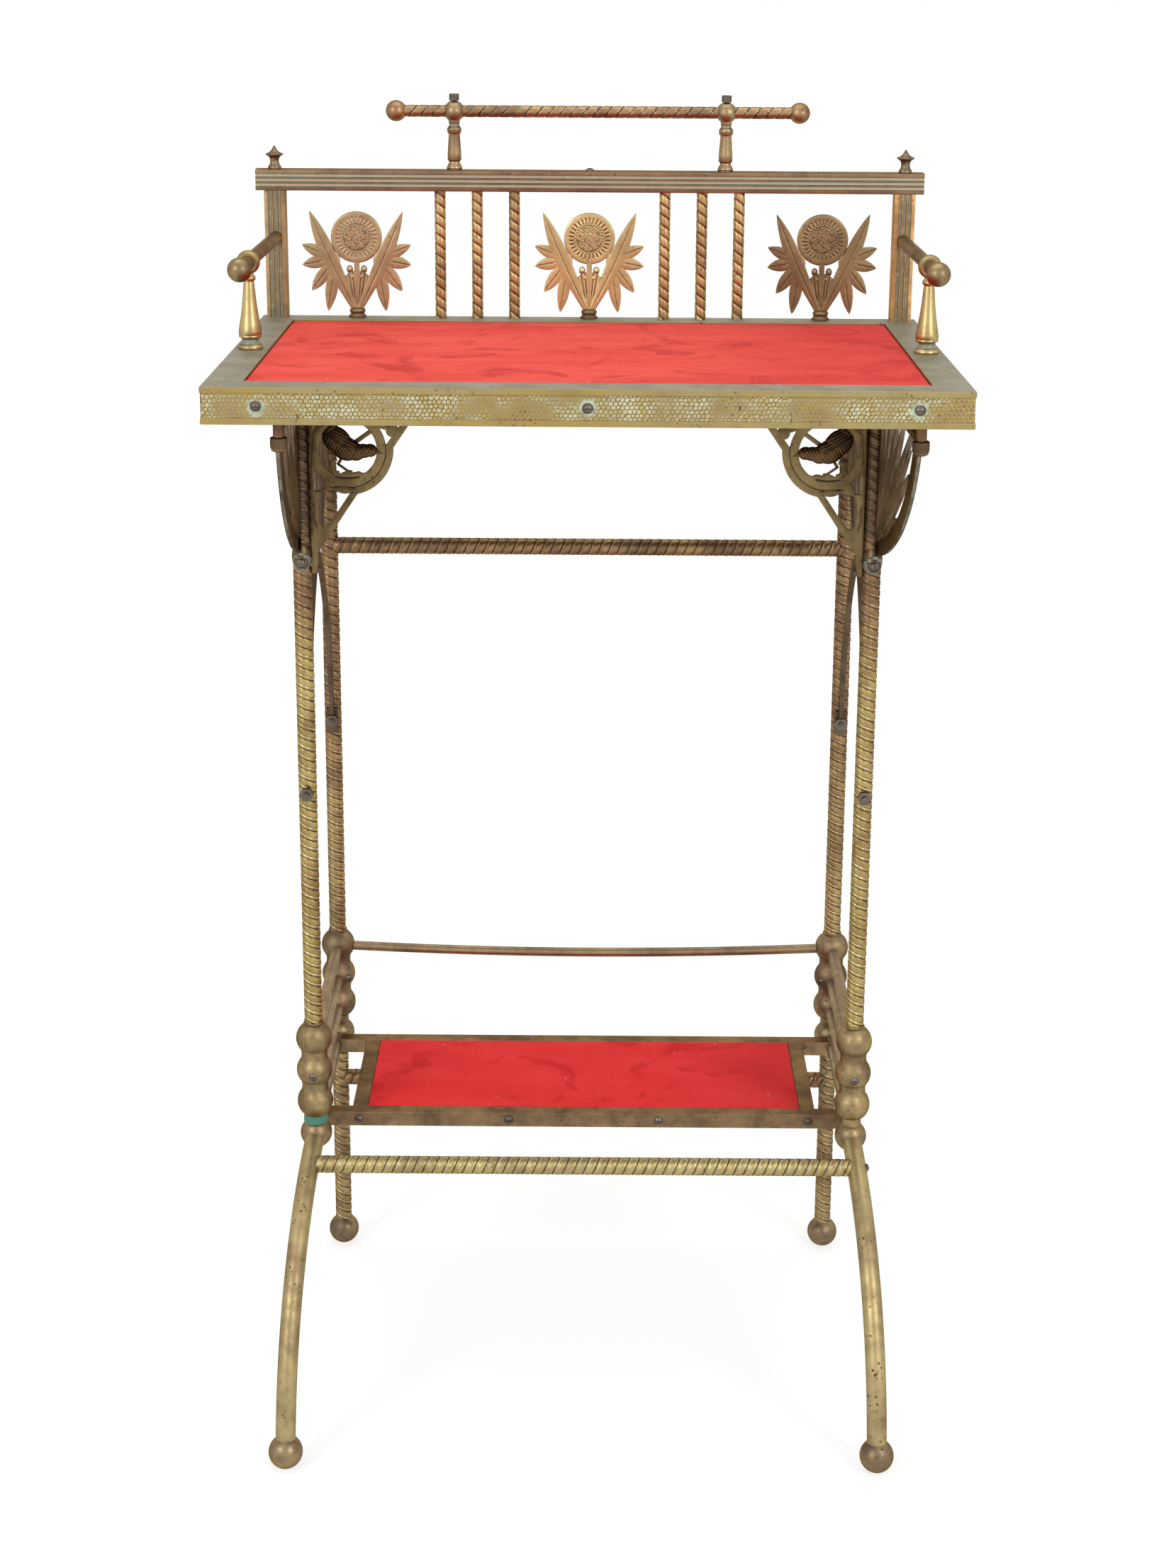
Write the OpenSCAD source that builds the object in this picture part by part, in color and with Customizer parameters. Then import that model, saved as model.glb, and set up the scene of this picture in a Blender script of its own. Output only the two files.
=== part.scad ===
// Brass music stand with a velvet table top, a back gallery and a low shelf.
// Frame: +X to the player's right, +Y to the back, +Z up. The origin is on the
// floor, under the middle of the whole stand. All lengths are in millimetres.

/* [Table top] */
// Width of the table top
top_w = 610; // [560:1:700]
// Depth of the table top
top_d = 406; // [380:1:440]
// Height of the table surface above the floor
top_z = 953; // [900:1:1040]
// Height of the hammered apron
apron_h = 30; // [28:1:38]
// Width of the flat border round the velvet
border_w = 31; // [29:1:40]
// Thickness of the brass strip of the frame
strip_t = 3; // [2:0.5:4]
// Thickness of the wooden board inside the frame
board_t = 22; // [16:1:24]
// Thickness of the velvet covering
velvet_t = 2.5; // [1.5:0.5:3]
// Distance between neighbouring apron screws
apron_screw_gap = 261; // [220:1:270]
// Diameter of a domed screw head
screw_head_d = 8.5; // [7:0.5:10]
// Diameter of a screw shank
screw_d = 3.2; // [2.5:0.1:4]

/* [Legs] */
// Diameter of the twisted legs
leg_d = 16.5; // [16.2:0.1:18]
// Distance between the left and right legs
leg_span = 492; // [450:1:520]
// Distance from the apron's face back to the front legs
front_leg_inset = 163; // [150:1:180]
// Distance from the table's rear edge forward to the rear legs
rear_leg_inset = 18; // [16:1:24]
// Height of the hexagon nuts that hold the side panels
nut_z = 565; // [520:1:600]
// Width across the corners of a hexagon nut
nut_d = 13; // [11:0.5:15]
// Diameter of the side panel bolts
bolt_d = 5; // [4:0.5:6]

/* [Ball stacks] */
// Diameter of a stack ball
stack_ball_d = 32.6; // [30:0.1:36]
// Distance between neighbouring balls
stack_pitch = 31; // [29:0.5:34]
// Height of the top ball
stack_top_z = 327; // [300:1:360]
// Diameter of the waist between two balls
stack_waist_d = 24; // [22:0.5:26]
// Diameter of the single ball under each stack
knee_ball_d = 29; // [28:0.5:32]
// Diameter of the side rods between the stacks
side_rod_d = 10; // [8:0.5:12]
// Wall left between a rod's end and the leg inside a ball
socket_gap = 1; // [0.5:0.1:2]

/* [Feet] */
// Diameter of the foot balls
foot_ball_d = 30; // [26:1:36]
// Diameter of the curved front legs
curved_leg_d = 17.5; // [16:0.5:19]
// Distance that the front feet stand ahead of the front legs
foot_reach = 178; // [165:1:200]
// Distance that each front foot stands out to its side
foot_splay = 13; // [0:1:20]
// Slope of a curved leg where it leaves its knee ball, in degrees
curve_start = 18; // [15:1:22]

/* [Stretchers] */
// Diameter of the twisted stretchers
stretcher_d = 16; // [13:0.5:16]
// Height of the upper rear stretcher
stretcher_upper_z = 736; // [700:1:780]
// Height of the lower rear stretcher
stretcher_lower_z = 184; // [120:1:200]
// Angle along a curved leg at which the front stretcher joins it
stretcher_turn = 8.5; // [7:0.5:14]
// Diameter of the thin rear rod
thin_rod_d = 9; // [7:0.5:10]
// How far the thin rear rod sags in the middle
thin_rod_sag = 6; // [3:0.5:10]

/* [Shelf] */
// Side of the square shelf bars
shelf_bar = 14; // [12:0.5:16]
// Distance from the front legs back to the shelf's front face
shelf_inset = 27; // [22:1:40]
// Depth of the shelf over its bars
shelf_d = 176; // [150:1:180]
// Half of the clear width between the shelf's end bars
shelf_half = 202; // [170:1:206]
// Thickness of the shelf board
shelf_board_t = 10; // [7:1:11]

/* [Gallery] */
// Side of the square reeded bars
reed_bar = 19; // [17:0.5:22]
// Length of the gallery rail
rail_len = 614; // [600:1:700]
// Height of the gallery posts
post_h = 117; // [100:1:140]
// Distance between the middles of the two posts
post_span = 580; // [540:1:580]
// Diameter of a flute in the reeded bars
flute_d = 3.2; // [2:0.1:3.6]
// Diameter of the twisted spindles
spindle_d = 10.5; // [8:0.5:12]
// Distance from the middle to the inner spindle of each group
spindle_start = 69.5; // [64:0.5:76]
// Distance between neighbouring spindles
spindle_gap = 34.3; // [28:0.1:36]
// Distance from the middle to each side flower
flower_x = 216; // [205:1:222]
// Radius of the flower head
flower_r = 23.5; // [20:0.5:25]
// Height of the flower head above the table
flower_z = 74; // [70:1:80]
// Thickness of the cast flowers
flower_t = 3.5; // [3:0.5:5]
// Height of the finials
finial_h = 21; // [16:1:26]

/* [Top bar] */
// Diameter of the sliding top bar
bar_d = 11; // [9:0.5:12]
// Distance between the middles of the bar's end balls
bar_len = 369; // [340:1:420]
// Diameter of the end balls and the clamp balls
bar_ball_d = 19; // [18:0.5:24]
// How far the bar is pushed to the right in its clamps
bar_shift = 7; // [-10:1:20]
// Distance between the two clamps
clamp_span = 249; // [220:1:270]
// Height of the bar above the gallery rail
bar_rise = 53; // [50:1:60]
// Running clearance round the bar
bar_clearance = 0.08; // [0.05:0.01:0.1]

/* [Arms] */
// Diameter of the smooth arm tubes
arm_d = 12; // [10:0.5:12]
// Height of the arm tubes above the table
arm_rise = 74; // [68:1:84]
// Distance from the apron's face back to the arm balls
arm_front = 142; // [125:1:160]
// Distance from an arm ball back to its baluster
baluster_back = 56; // [40:1:70]
// Diameter of the arm balls
arm_ball_d = 20.5; // [18:0.5:24]

/* [Brackets] */
// Thickness of the cast brackets
casting_t = 4; // [3:0.5:5]
// Outer radius of the bird ring
ring_r = 32.5; // [28:0.5:33]
// Width of the ring's band
ring_band = 7; // [5:0.5:8]
// Height of the bolts and screws that hold the brackets to the front legs
bracket_screw_z = 775; // [750:1:790]
// Outer radius of the plume bracket's rim
plume_r = 155; // [145:1:157]
// Width of the plume bracket's rim
plume_rim = 16; // [12:1:20]
// Outward turn of the left plume bracket, in degrees
plume_turn_left = 0; // [0:1:10]
// Outward turn of the right plume bracket, in degrees
plume_turn_right = 8; // [0:1:10]
// Height from the nuts to the point of the side arch
arch_rise = 200; // [180:1:220]
// Width of the side arch's rib
arch_rib = 9; // [7:0.5:12]

/* [Hidden] */

$fn = 48;
eps = 0.01;
SIDES = [-1, 1];
leaf_steps = 4;

// Depths, worked out so that the origin is under the middle of the stand
toe = foot_reach + foot_ball_d / 2 - front_leg_inset;
apron_y = toe - (top_d + toe) / 2;
back_y = apron_y + top_d;
front_leg_y = apron_y + front_leg_inset;
rear_leg_y = back_y - rear_leg_inset;
leg_x = leg_span / 2;
leg_gap = rear_leg_y - front_leg_y;
mid_y = (front_leg_y + rear_leg_y) / 2;

// Table heights
board_top = top_z - strip_t;
board_bottom = board_top - board_t;
apron_mid_z = top_z - apron_h / 2;

// Gallery places
rail_y = back_y - reed_bar / 2;
rail_bottom = top_z + post_h;
rail_top = rail_bottom + reed_bar;
post_x = post_span / 2;
bar_z = rail_top + bar_rise;
clamp_x = clamp_span / 2;
arm_z = top_z + arm_rise;
arm_ball_y = apron_y + arm_front;
baluster_y = arm_ball_y + baluster_back;
arm_socket = 4;

// Ball stack places
knee_z = stack_top_z - 3 * stack_pitch;
stack_heights = [for (i = [0:2]) stack_top_z - i * stack_pitch];
rod_heights = [for (i = [0:3]) stack_top_z - i * stack_pitch];
rod_inset = leg_d / 2 + socket_gap;
foot_z = foot_ball_d / 2;
leg_socket = 10;

// The curved leg is one arc from the knee ball to the foot ball
curve_drop = knee_z - foot_z;
curve_run = norm([foot_reach, foot_splay]);
curve_chord = norm([curve_run, curve_drop]);
curve_half = atan(curve_drop / curve_run) - curve_start;
curve_r = curve_chord / (2 * sin(curve_half));
curve_end = curve_start + 2 * curve_half;
splay_turn = atan(foot_splay / foot_reach);
stretcher_angle = curve_start + stretcher_turn;
stretcher_run = curve_r * (sin(stretcher_angle) - sin(curve_start));
stretcher_front_z = knee_z - curve_r * (cos(curve_start) - cos(stretcher_angle));
stretcher_front_y = front_leg_y - stretcher_run * cos(splay_turn);
stretcher_front_x = leg_x + stretcher_run * sin(splay_turn);

// Shelf places
shelf_top = knee_z + shelf_bar / 2;
shelf_y = front_leg_y + shelf_inset;
shelf_back_y = shelf_y + shelf_d;
shelf_bite = 2;
shelf_screw_gap = (2 * shelf_half + shelf_bar) / 3;

// Screws, bolts and nuts
head_h = 2.6;
shank_len = 14;
shelf_shank = shelf_bar + 10;
stack_screw_len = (stack_ball_d - leg_d) / 2 + 1;
stack_screw_turn = 45;
stretcher_screw_len = curved_leg_d + 5;
nut_h = 5;
bolt_tip = 2.5;
bolt_head_d = 9;
bolt_head_h = 3;

// Flowers and their sockets, measured up from the table
stem_base = 6;
bud = [6, 44];
spray = [21, 53];
socket_h = 9;
tenon_d = 7;
tenon_h = 12;

// Clamps on the top bar
clamp_screw_d = 4.5;
clamp_head_d = 9;
clamp_head_h = 6;
clamp_tip_gap = 0.3;
bar_socket = 5;

// Bracket places
leg_edge = leg_x - leg_d / 2;
tab_w = 6;
saddle_t = 2.5;
bracket_shank = leg_d / 3 + saddle_t;
hanger_d = 9;
boss_h = 9;
foot_t = 3.5;
foot_w = 11;
foot_h = 24;
corner_r = 56;
ring_x = leg_x - leg_d / 2 - ring_r;
ring_z = board_bottom - ring_r - 23;
plume_centre_u = -19;
plume_centre_z = board_bottom + 9;
lug_u = 141;
lug_z = plume_centre_z - 32;
arch_half = leg_gap / 2 - leg_d / 2;
arch_offset = (arch_rise * arch_rise - arch_half * arch_half) / (2 * arch_half);
arch_r = arch_half + arch_offset;
leaf_w = 22;
side_leaves = [[13, 0, 17, 120, leaf_w], [22, 0, 41, 96, leaf_w], [26, -8, 62, 74, 16]];

BRASS = [0.55, 0.44, 0.22];
BRONZE = [0.42, 0.30, 0.18];
GREY_BRASS = [0.38, 0.34, 0.28];
VELVET = [0.75, 0.08, 0.08];
WOOD = [0.45, 0.30, 0.18];
STEEL = [0.30, 0.28, 0.25];

// ---- helpers -------------------------------------------------------------

// A rod along X between two places
module rod_x(x0, x1, y, z, d) {
    translate([x0, y, z]) rotate([0, 90, 0]) cylinder(d = d, h = x1 - x0);
}

// A rod along Y between two places
module rod_y(x, y0, y1, z, d) {
    translate([x, y0, z]) rotate([-90, 0, 0]) cylinder(d = d, h = y1 - y0);
}

// A domed and slotted screw along Z, seated on the plane z = 0
module screw(len) {
    rim = screw_head_d / 2;
    dome_r = (rim * rim + head_h * head_h) / (2 * head_h);
    translate([0, 0, -len]) cylinder(d = screw_d, h = len + eps);
    difference() {
        intersection() {
            translate([0, 0, head_h - dome_r]) sphere(r = dome_r);
            cylinder(r = rim, h = head_h);
        }
        translate([-rim, -0.5, head_h - 1.1]) cube([2 * rim, 1, 2]);
    }
}

// The hole for such a screw, with a flat spot for its head
module screw_hole(len) {
    translate([0, 0, -len]) cylinder(d = screw_d, h = len + 1);
    cylinder(d = screw_head_d, h = 2 * head_h);
}

// Stands a flat outline up in the XZ plane, with its thickness centred on y = 0
module stand_xz(t) {
    translate([0, t / 2, 0]) rotate([90, 0, 0]) linear_extrude(t) children();
}

// A pointed leaf along +X: two equal arcs that meet at its tips
module leaf(len, wide) {
    r = (len * len + wide * wide) / 4 / wide;
    half_turn = asin(len / 2 / r);
    polygon([
        for (side = SIDES, i = [-leaf_steps:leaf_steps - 1])
            let (turn = half_turn * i / leaf_steps)
                [len / 2 - side * r * sin(turn), side * (wide / 2 - r + r * cos(turn))]
    ]);
}

// A straight strap between two points of an outline
module strap(a, b, wide) {
    run = b - a;
    translate(a) rotate(atan2(run[1], run[0])) translate([0, -wide / 2]) square([norm(run), wide]);
}

// ---- table top -----------------------------------------------------------

// The outline of one mitred side, with its outer edge on y = 0
module mitred(len, wide) {
    polygon([[-len / 2, 0], [len / 2, 0], [len / 2 - wide, wide], [wide - len / 2, wide]]);
}

// One mitred side of the frame: a flat border with the apron standing under it
module frame_side(len) {
    translate([0, 0, top_z - strip_t]) linear_extrude(strip_t) mitred(len, border_w);
    translate([0, 0, top_z - apron_h]) linear_extrude(apron_h) mitred(len, strip_t);
}

// Places its children at each apron screw, with +Z outwards
module apron_screw_places() {
    for (i = [-1:1])
        translate([i * apron_screw_gap, apron_y, apron_mid_z]) rotate([90, 0, 0]) children();
    for (side = SIDES, i = SIDES)
        translate([side * top_w / 2, (apron_y + back_y) / 2 + i * top_d / 4, apron_mid_z])
            rotate([0, side * 90, 0]) children();
}

module top_frame_front() {
    color(BRASS) difference() {
        translate([0, apron_y, 0]) frame_side(top_w);
        apron_screw_places() screw_hole(shank_len);
    }
}

module top_frame_back() {
    color(BRASS) difference() {
        translate([0, back_y, 0]) rotate([0, 0, 180]) frame_side(top_w);
        flower_tenons();
    }
}

module top_frame_end(side) {
    color(BRASS) difference() {
        translate([side * top_w / 2, (apron_y + back_y) / 2, 0]) rotate([0, 0, side * 90])
            frame_side(top_d);
        apron_screw_places() screw_hole(shank_len);
    }
}

module apron_screws() {
    color(STEEL) apron_screw_places() screw(shank_len);
}

module top_board() {
    color(WOOD) difference() {
        translate([-top_w / 2 + strip_t, apron_y + strip_t, board_bottom])
            cube([top_w - 2 * strip_t, top_d - 2 * strip_t, board_t]);
        apron_screw_places() screw_hole(shank_len);
        flower_tenons();
    }
}

module top_velvet() {
    color(VELVET) translate([-top_w / 2 + border_w, apron_y + border_w, board_top])
        cube([top_w - 2 * border_w, top_d - 2 * border_w, velvet_t]);
}

// ---- gallery -------------------------------------------------------------

// Three flutes on a face that looks towards -Y, running along Z
module flutes(len) {
    for (i = [-1:1])
        translate([i * reed_bar / 4.2, -reed_bar / 2, -1]) cylinder(d = flute_d, h = len + 2, $fn = 24);
}

module gallery_post(side) {
    color(BRONZE) difference() {
        translate([side * post_x, rail_y, top_z]) difference() {
            translate([-reed_bar / 2, -reed_bar / 2, 0]) cube([reed_bar, reed_bar, post_h]);
            flutes(post_h);
        }
        rod_y(side * post_x, rail_y - reed_bar, rail_y - reed_bar / 2 + arm_socket, arm_z, arm_d);
    }
}

module gallery_rail() {
    color(BRONZE) difference() {
        translate([-rail_len / 2, rail_y, rail_bottom + reed_bar / 2]) rotate([0, 90, 0]) difference() {
            translate([-reed_bar / 2, -reed_bar / 2, 0]) cube([reed_bar, reed_bar, rail_len]);
            flutes(rail_len);
        }
        rail_screw_place() screw_hole(shank_len);
    }
}

module spindles(side) {
    color(BRONZE) for (i = [0:2])
        translate([side * (spindle_start + i * spindle_gap), rail_y, top_z])
            cylinder(d = spindle_d, h = post_h);
}

module rail_screw_place() {
    translate([0, rail_y, rail_top]) children();
}

module flower(x) {
    color(BRONZE) translate([x, rail_y, top_z]) stand_xz(flower_t) flower_outline();
}

// A round flower head over two buds and two sprays of pointed leaves
module flower_outline() {
    translate([0, flower_z]) circle(r = flower_r);
    strap([0, stem_base], [0, flower_z], 5);
    for (side = SIDES) mirror([side < 0 ? 1 : 0, 0]) {
        translate(bud) circle(r = 3.4);
        strap([2, stem_base], bud, 3);
        strap([3, stem_base], spray, 7);
        translate([11, 28]) rotate(63) leaf(73, 12);
        translate(spray) {
            rotate(23) leaf(32, 10);
            rotate(-13) leaf(30, 10);
            rotate(-54) leaf(36, 10);
            rotate(-83) leaf(49, 11);
        }
    }
}

module flower_tenons() {
    for (i = [-1:1])
        translate([i * flower_x, rail_y, top_z - tenon_h]) cylinder(d = tenon_d, h = tenon_h + 1);
}

// A turned socket under each flower, with its tenon through the border
module flower_sockets() {
    color(BRASS) for (i = [-1:1]) difference() {
        translate([i * flower_x, rail_y, top_z]) {
            translate([0, 0, -tenon_h]) cylinder(d = tenon_d, h = tenon_h + 2);
            rotate_extrude() polygon([[0, 0], [8, 0], [8, 2], [6.5, 3.5], [7.4, 6], [6, socket_h], [0, socket_h]]);
        }
        flower(i * flower_x);
    }
}

module finials() {
    color(BRONZE) for (side = SIDES)
        translate([side * post_x, rail_y, rail_top]) rotate_extrude()
            polygon([[0, 0], [6.3, 0], [6.3, 1.6], [4.8, 2.8], [4.3, 6], [5, 9], [8.3, 10.6], [8.3, 12],
                [4.6, 14.5], [2, 17.5], [0, finial_h]]);
}

// ---- sliding top bar -----------------------------------------------------

module bar_pillar(side) {
    color(BRASS) difference() {
        translate([side * clamp_x, rail_y, rail_top]) {
            rotate_extrude() polygon([[0, 0], [7, 0], [7, 3.5], [5.6, 5.5], [5, 8], [6.2, 10], [6.2, 13],
                [4.7, 33], [6.4, 36], [6.4, 38.5], [4.4, 40.5], [4.4, bar_rise], [0, bar_rise]]);
            translate([0, 0, bar_rise]) sphere(d = bar_ball_d);
        }
        rod_x(side * clamp_x - bar_ball_d, side * clamp_x + bar_ball_d, rail_y, bar_z,
            bar_d + 2 * bar_clearance);
        translate([side * clamp_x, rail_y, bar_z]) cylinder(d = clamp_screw_d, h = bar_ball_d);
    }
}

module clamp_screws() {
    color(STEEL) for (side = SIDES) translate([side * clamp_x, rail_y, 0]) {
        translate([0, 0, bar_z + bar_d / 2 + clamp_tip_gap])
            cylinder(d = clamp_screw_d, h = bar_ball_d / 2 - bar_d / 2 + 1);
        translate([0, 0, bar_z + bar_ball_d / 2]) difference() {
            cylinder(d = clamp_head_d, h = clamp_head_h);
            translate([-clamp_head_d / 2, -0.6, clamp_head_h - 1.6]) cube([clamp_head_d, 1.2, 2]);
        }
    }
}

module top_bar() {
    color(BRONZE) rod_x(bar_shift - bar_len / 2 + bar_ball_d / 2 - bar_socket,
        bar_shift + bar_len / 2 - bar_ball_d / 2 + bar_socket, rail_y, bar_z, bar_d);
}

module top_bar_balls() {
    color(BRASS) difference() {
        for (side = SIDES)
            translate([bar_shift + side * bar_len / 2, rail_y, bar_z]) rotate([0, 90, 0])
                sphere(d = bar_ball_d);
        top_bar();
    }
}

// ---- arms ----------------------------------------------------------------

module arm_baluster(side) {
    color(BRASS) difference() {
        translate([side * post_x, baluster_y, top_z]) {
            rotate_extrude() polygon([[0, 0], [10.5, 0], [10.5, 2.5], [8, 4.5], [7.2, 8], [9.8, 10.5], [9.8, 16],
                [5, arm_rise - 18], [4.2, arm_rise - 16], [5.8, arm_rise - 14.5], [5.8, arm_rise - 12.5],
                [4.2, arm_rise - 11], [4.2, arm_rise], [0, arm_rise]]);
            translate([0, 0, arm_rise]) intersection() {
                sphere(d = arm_ball_d);
                translate([-arm_ball_d, -6, -arm_ball_d]) cube([2 * arm_ball_d, 12, 2 * arm_ball_d]);
            }
        }
        arm_bore(side);
    }
}

module arm_bore(side) {
    rod_y(side * post_x, arm_ball_y, rail_y - reed_bar / 2 + arm_socket, arm_z, arm_d);
}

module arm_tube(side) {
    color(BRONZE) arm_bore(side);
}

module arm_balls() {
    color(BRASS) for (side = SIDES) difference() {
        translate([side * post_x, arm_ball_y, arm_z]) rotate([-90, 0, 0]) sphere(d = arm_ball_d);
        arm_bore(side);
    }
}

// ---- legs, stacks and feet -----------------------------------------------

module front_leg_tube(side) {
    translate([side * leg_x, front_leg_y, knee_z + leg_socket])
        cylinder(d = leg_d, h = board_bottom - knee_z - leg_socket);
}

module rear_leg_tube(side) {
    translate([side * leg_x, rear_leg_y, foot_z]) cylinder(d = leg_d, h = board_bottom - foot_z);
}

module front_leg(side) {
    color(BRONZE) difference() {
        front_leg_tube(side);
        panel_bolt_places() bolt_hole();
        bracket_screw_places() screw_hole(bracket_shank);
        stack_screw_places() screw_hole(stack_screw_len);
    }
}

module rear_leg(side) {
    color(BRONZE) difference() {
        rear_leg_tube(side);
        panel_bolt_places() bolt_hole();
        stack_screw_places() screw_hole(stack_screw_len);
    }
}

// Three balls turned in one piece with narrow waists, standing on the axis
module ball_stack() {
    for (z = stack_heights) translate([0, 0, z]) sphere(d = stack_ball_d);
    translate([0, 0, stack_heights[2] - stack_ball_d / 2 + 1.5])
        cylinder(d = stack_waist_d, h = 2 * stack_pitch + stack_ball_d - 3);
}

module front_stack(side) {
    color(BRASS) difference() {
        translate([side * leg_x, front_leg_y, 0]) ball_stack();
        front_leg_tube(side);
        side_rods(side);
        stack_screw_places() screw_hole(stack_screw_len);
    }
}

module rear_stack(side) {
    color(BRASS) difference() {
        translate([side * leg_x, rear_leg_y, 0]) ball_stack();
        rear_leg_tube(side);
        side_rods(side);
        thin_rear_rod();
        stack_screw_places() screw_hole(stack_screw_len);
    }
}

module knee_ball(side, y) {
    translate([side * leg_x, y, knee_z]) sphere(d = knee_ball_d);
}

module knee_balls() {
    color(BRASS) for (side = SIDES) {
        difference() {
            knee_ball(side, front_leg_y);
            front_leg_tube(side);
            curved_tube(side);
            side_rods(side);
        }
        difference() {
            knee_ball(side, rear_leg_y);
            rear_leg_tube(side);
            side_rods(side);
        }
    }
}

// Places its children in the plane of a curved leg, at the arc's middle
module curve_plane(side) {
    translate([side * leg_x, front_leg_y, 0]) rotate([0, 0, side * splay_turn])
        translate([0, curve_r * sin(curve_start), knee_z - curve_r * cos(curve_start)])
            rotate([0, 0, 180]) rotate([0, -90, 0]) children();
}

module curved_tube(side) {
    curve_plane(side) rotate([0, 0, curve_start])
        rotate_extrude(angle = curve_end - curve_start, $fn = 180)
            translate([curve_r, 0]) circle(d = curved_leg_d, $fn = 32);
}

module curved_leg(side) {
    color(BRASS) difference() {
        curved_tube(side);
        stretcher_screw_place() screw_hole(stretcher_screw_len);
    }
}

module foot_balls() {
    color(BRASS) for (side = SIDES) {
        difference() {
            translate([side * (leg_x + foot_splay), front_leg_y - foot_reach, foot_z])
                sphere(d = foot_ball_d);
            curved_tube(side);
        }
        difference() {
            translate([side * leg_x, rear_leg_y, foot_z]) sphere(d = foot_ball_d);
            rear_leg_tube(side);
        }
    }
}

// ---- rods and stretchers -------------------------------------------------

// The lowest rod starts behind the curved leg's end in the knee ball
module side_rods(side) {
    color(BRASS) for (z = rod_heights)
        rod_y(side * leg_x, front_leg_y + rod_inset, rear_leg_y - rod_inset, z, side_rod_d);
}

// An arc that hangs between the top balls of the rear stacks
module thin_rear_rod() {
    half = leg_x - rod_inset;
    bend_r = (half * half + thin_rod_sag * thin_rod_sag) / (2 * thin_rod_sag);
    half_turn = asin(half / bend_r);
    color(BRASS) translate([0, rear_leg_y, stack_top_z - thin_rod_sag + bend_r]) rotate([-90, 0, 0])
        rotate([0, 0, 90 - half_turn]) rotate_extrude(angle = 2 * half_turn, $fn = 1440)
            translate([bend_r, 0]) circle(d = thin_rod_d, $fn = 24);
}

module rear_stretcher(z) {
    color(BRONZE) difference() {
        rod_x(-leg_x, leg_x, rear_leg_y, z, stretcher_d);
        for (side = SIDES) rear_leg_tube(side);
    }
}

module stretcher_front() {
    color(BRASS) difference() {
        rod_x(-stretcher_front_x, stretcher_front_x, stretcher_front_y, stretcher_front_z, stretcher_d);
        for (side = SIDES) curved_tube(side);
        stretcher_screw_place() screw_hole(stretcher_screw_len);
    }
}

// ---- shelf ---------------------------------------------------------------

module shelf_cross_bar(y) {
    half = leg_x - side_rod_d / 2 + shelf_bite;
    color(BRONZE) difference() {
        translate([-half, y, shelf_top - shelf_bar]) cube([2 * half, shelf_bar, shelf_bar]);
        for (side = SIDES) {
            side_rods(side);
            rear_leg_tube(side);
            for (leg_y = [front_leg_y, rear_leg_y]) knee_ball(side, leg_y);
        }
        shelf_screw_places() screw_hole(shelf_shank);
    }
}

module shelf_ends() {
    color(GREY_BRASS) difference() {
        for (side = SIDES)
            translate([side * (shelf_half + shelf_bar / 2), (shelf_y + shelf_back_y) / 2, knee_z])
                cube([shelf_bar, shelf_d - 2 * shelf_bar, shelf_bar], center = true);
        shelf_screw_places() screw_hole(shelf_shank);
    }
}

module shelf_plate(z, t) {
    translate([-shelf_half, shelf_y + shelf_bar, z])
        cube([2 * shelf_half, shelf_d - 2 * shelf_bar, t]);
}

module shelf_board() {
    color(WOOD) difference() {
        shelf_plate(shelf_top - 1.5 - shelf_board_t, shelf_board_t);
        shelf_screw_places() screw_hole(shelf_shank);
    }
}

module shelf_velvet() {
    color(VELVET) shelf_plate(shelf_top - 1.5, velvet_t);
}

// ---- brackets ------------------------------------------------------------

// Places its children in the upright plane across the front legs, mirrored for the left
module bird_side(side) {
    translate([0, front_leg_y, 0]) mirror([side < 0 ? 1 : 0, 0, 0]) children();
}

module bird_bracket(side) {
    color(BRASS) difference() {
        bird_side(side) stand_xz(casting_t) bird_outline();
        bracket_screw_places() screw_hole(bracket_shank);
    }
}

// A ring with a perched bird, hung in a triangle of straps
module bird_outline() {
    band_r = ring_r + 6;
    corner_x = ring_x - band_r + 3;
    top_x = corner_x - 0.7 * (board_bottom - ring_z);
    tab_bottom = bracket_screw_z - 20;
    intersection() {
        union() {
            translate([leg_edge - tab_w, tab_bottom]) square([tab_w, board_bottom - tab_bottom]);
            translate([top_x - 6, board_bottom - 6]) square([leg_edge - top_x + 6, 6]);
            strap([corner_x, ring_z - 2], [top_x, board_bottom], 6);
            strap([ring_x - 6, ring_z - band_r + 4], [leg_edge - 4, bracket_screw_z + 8], 7);
            translate([ring_x, ring_z]) {
                ring(ring_r, ring_band);
                intersection() {
                    ring(band_r, band_r - ring_r + 1);
                    translate([-band_r, -band_r]) square([band_r - 4, band_r + 2]);
                }
                translate([-39, 16]) circle(r = 5);
                bird();
            }
        }
        translate([0, tab_bottom]) square([leg_edge, board_bottom - tab_bottom]);
    }
}

module ring(r, band) {
    difference() {
        circle(r = r, $fn = 96);
        circle(r = r - band, $fn = 96);
    }
}

// A small bird on a branch, looking towards the middle of the stand
module bird() {
    translate([0, -22]) centred_leaf(44, 9);
    strap([2, -6], [-3, -19], 2);
    translate([-18, 0]) circle(r = 7.5);
    polygon([[-23, 5], [-31, -5], [-17, -6]]);
    translate([2, 5]) rotate(24) centred_leaf(50, 24);
    translate([12, 14]) rotate(40) centred_leaf(34, 14);
}

// A leaf shape centred on the origin
module centred_leaf(len, wide) {
    translate([-len / 2, 0]) leaf(len, wide);
}

// Places its children in the upright plane that runs forward from a front leg
module plume_side(side) {
    turn = side < 0 ? plume_turn_left : plume_turn_right;
    translate([side * leg_x, front_leg_y, 0]) rotate([0, 0, side * turn - 90]) children();
}

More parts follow.
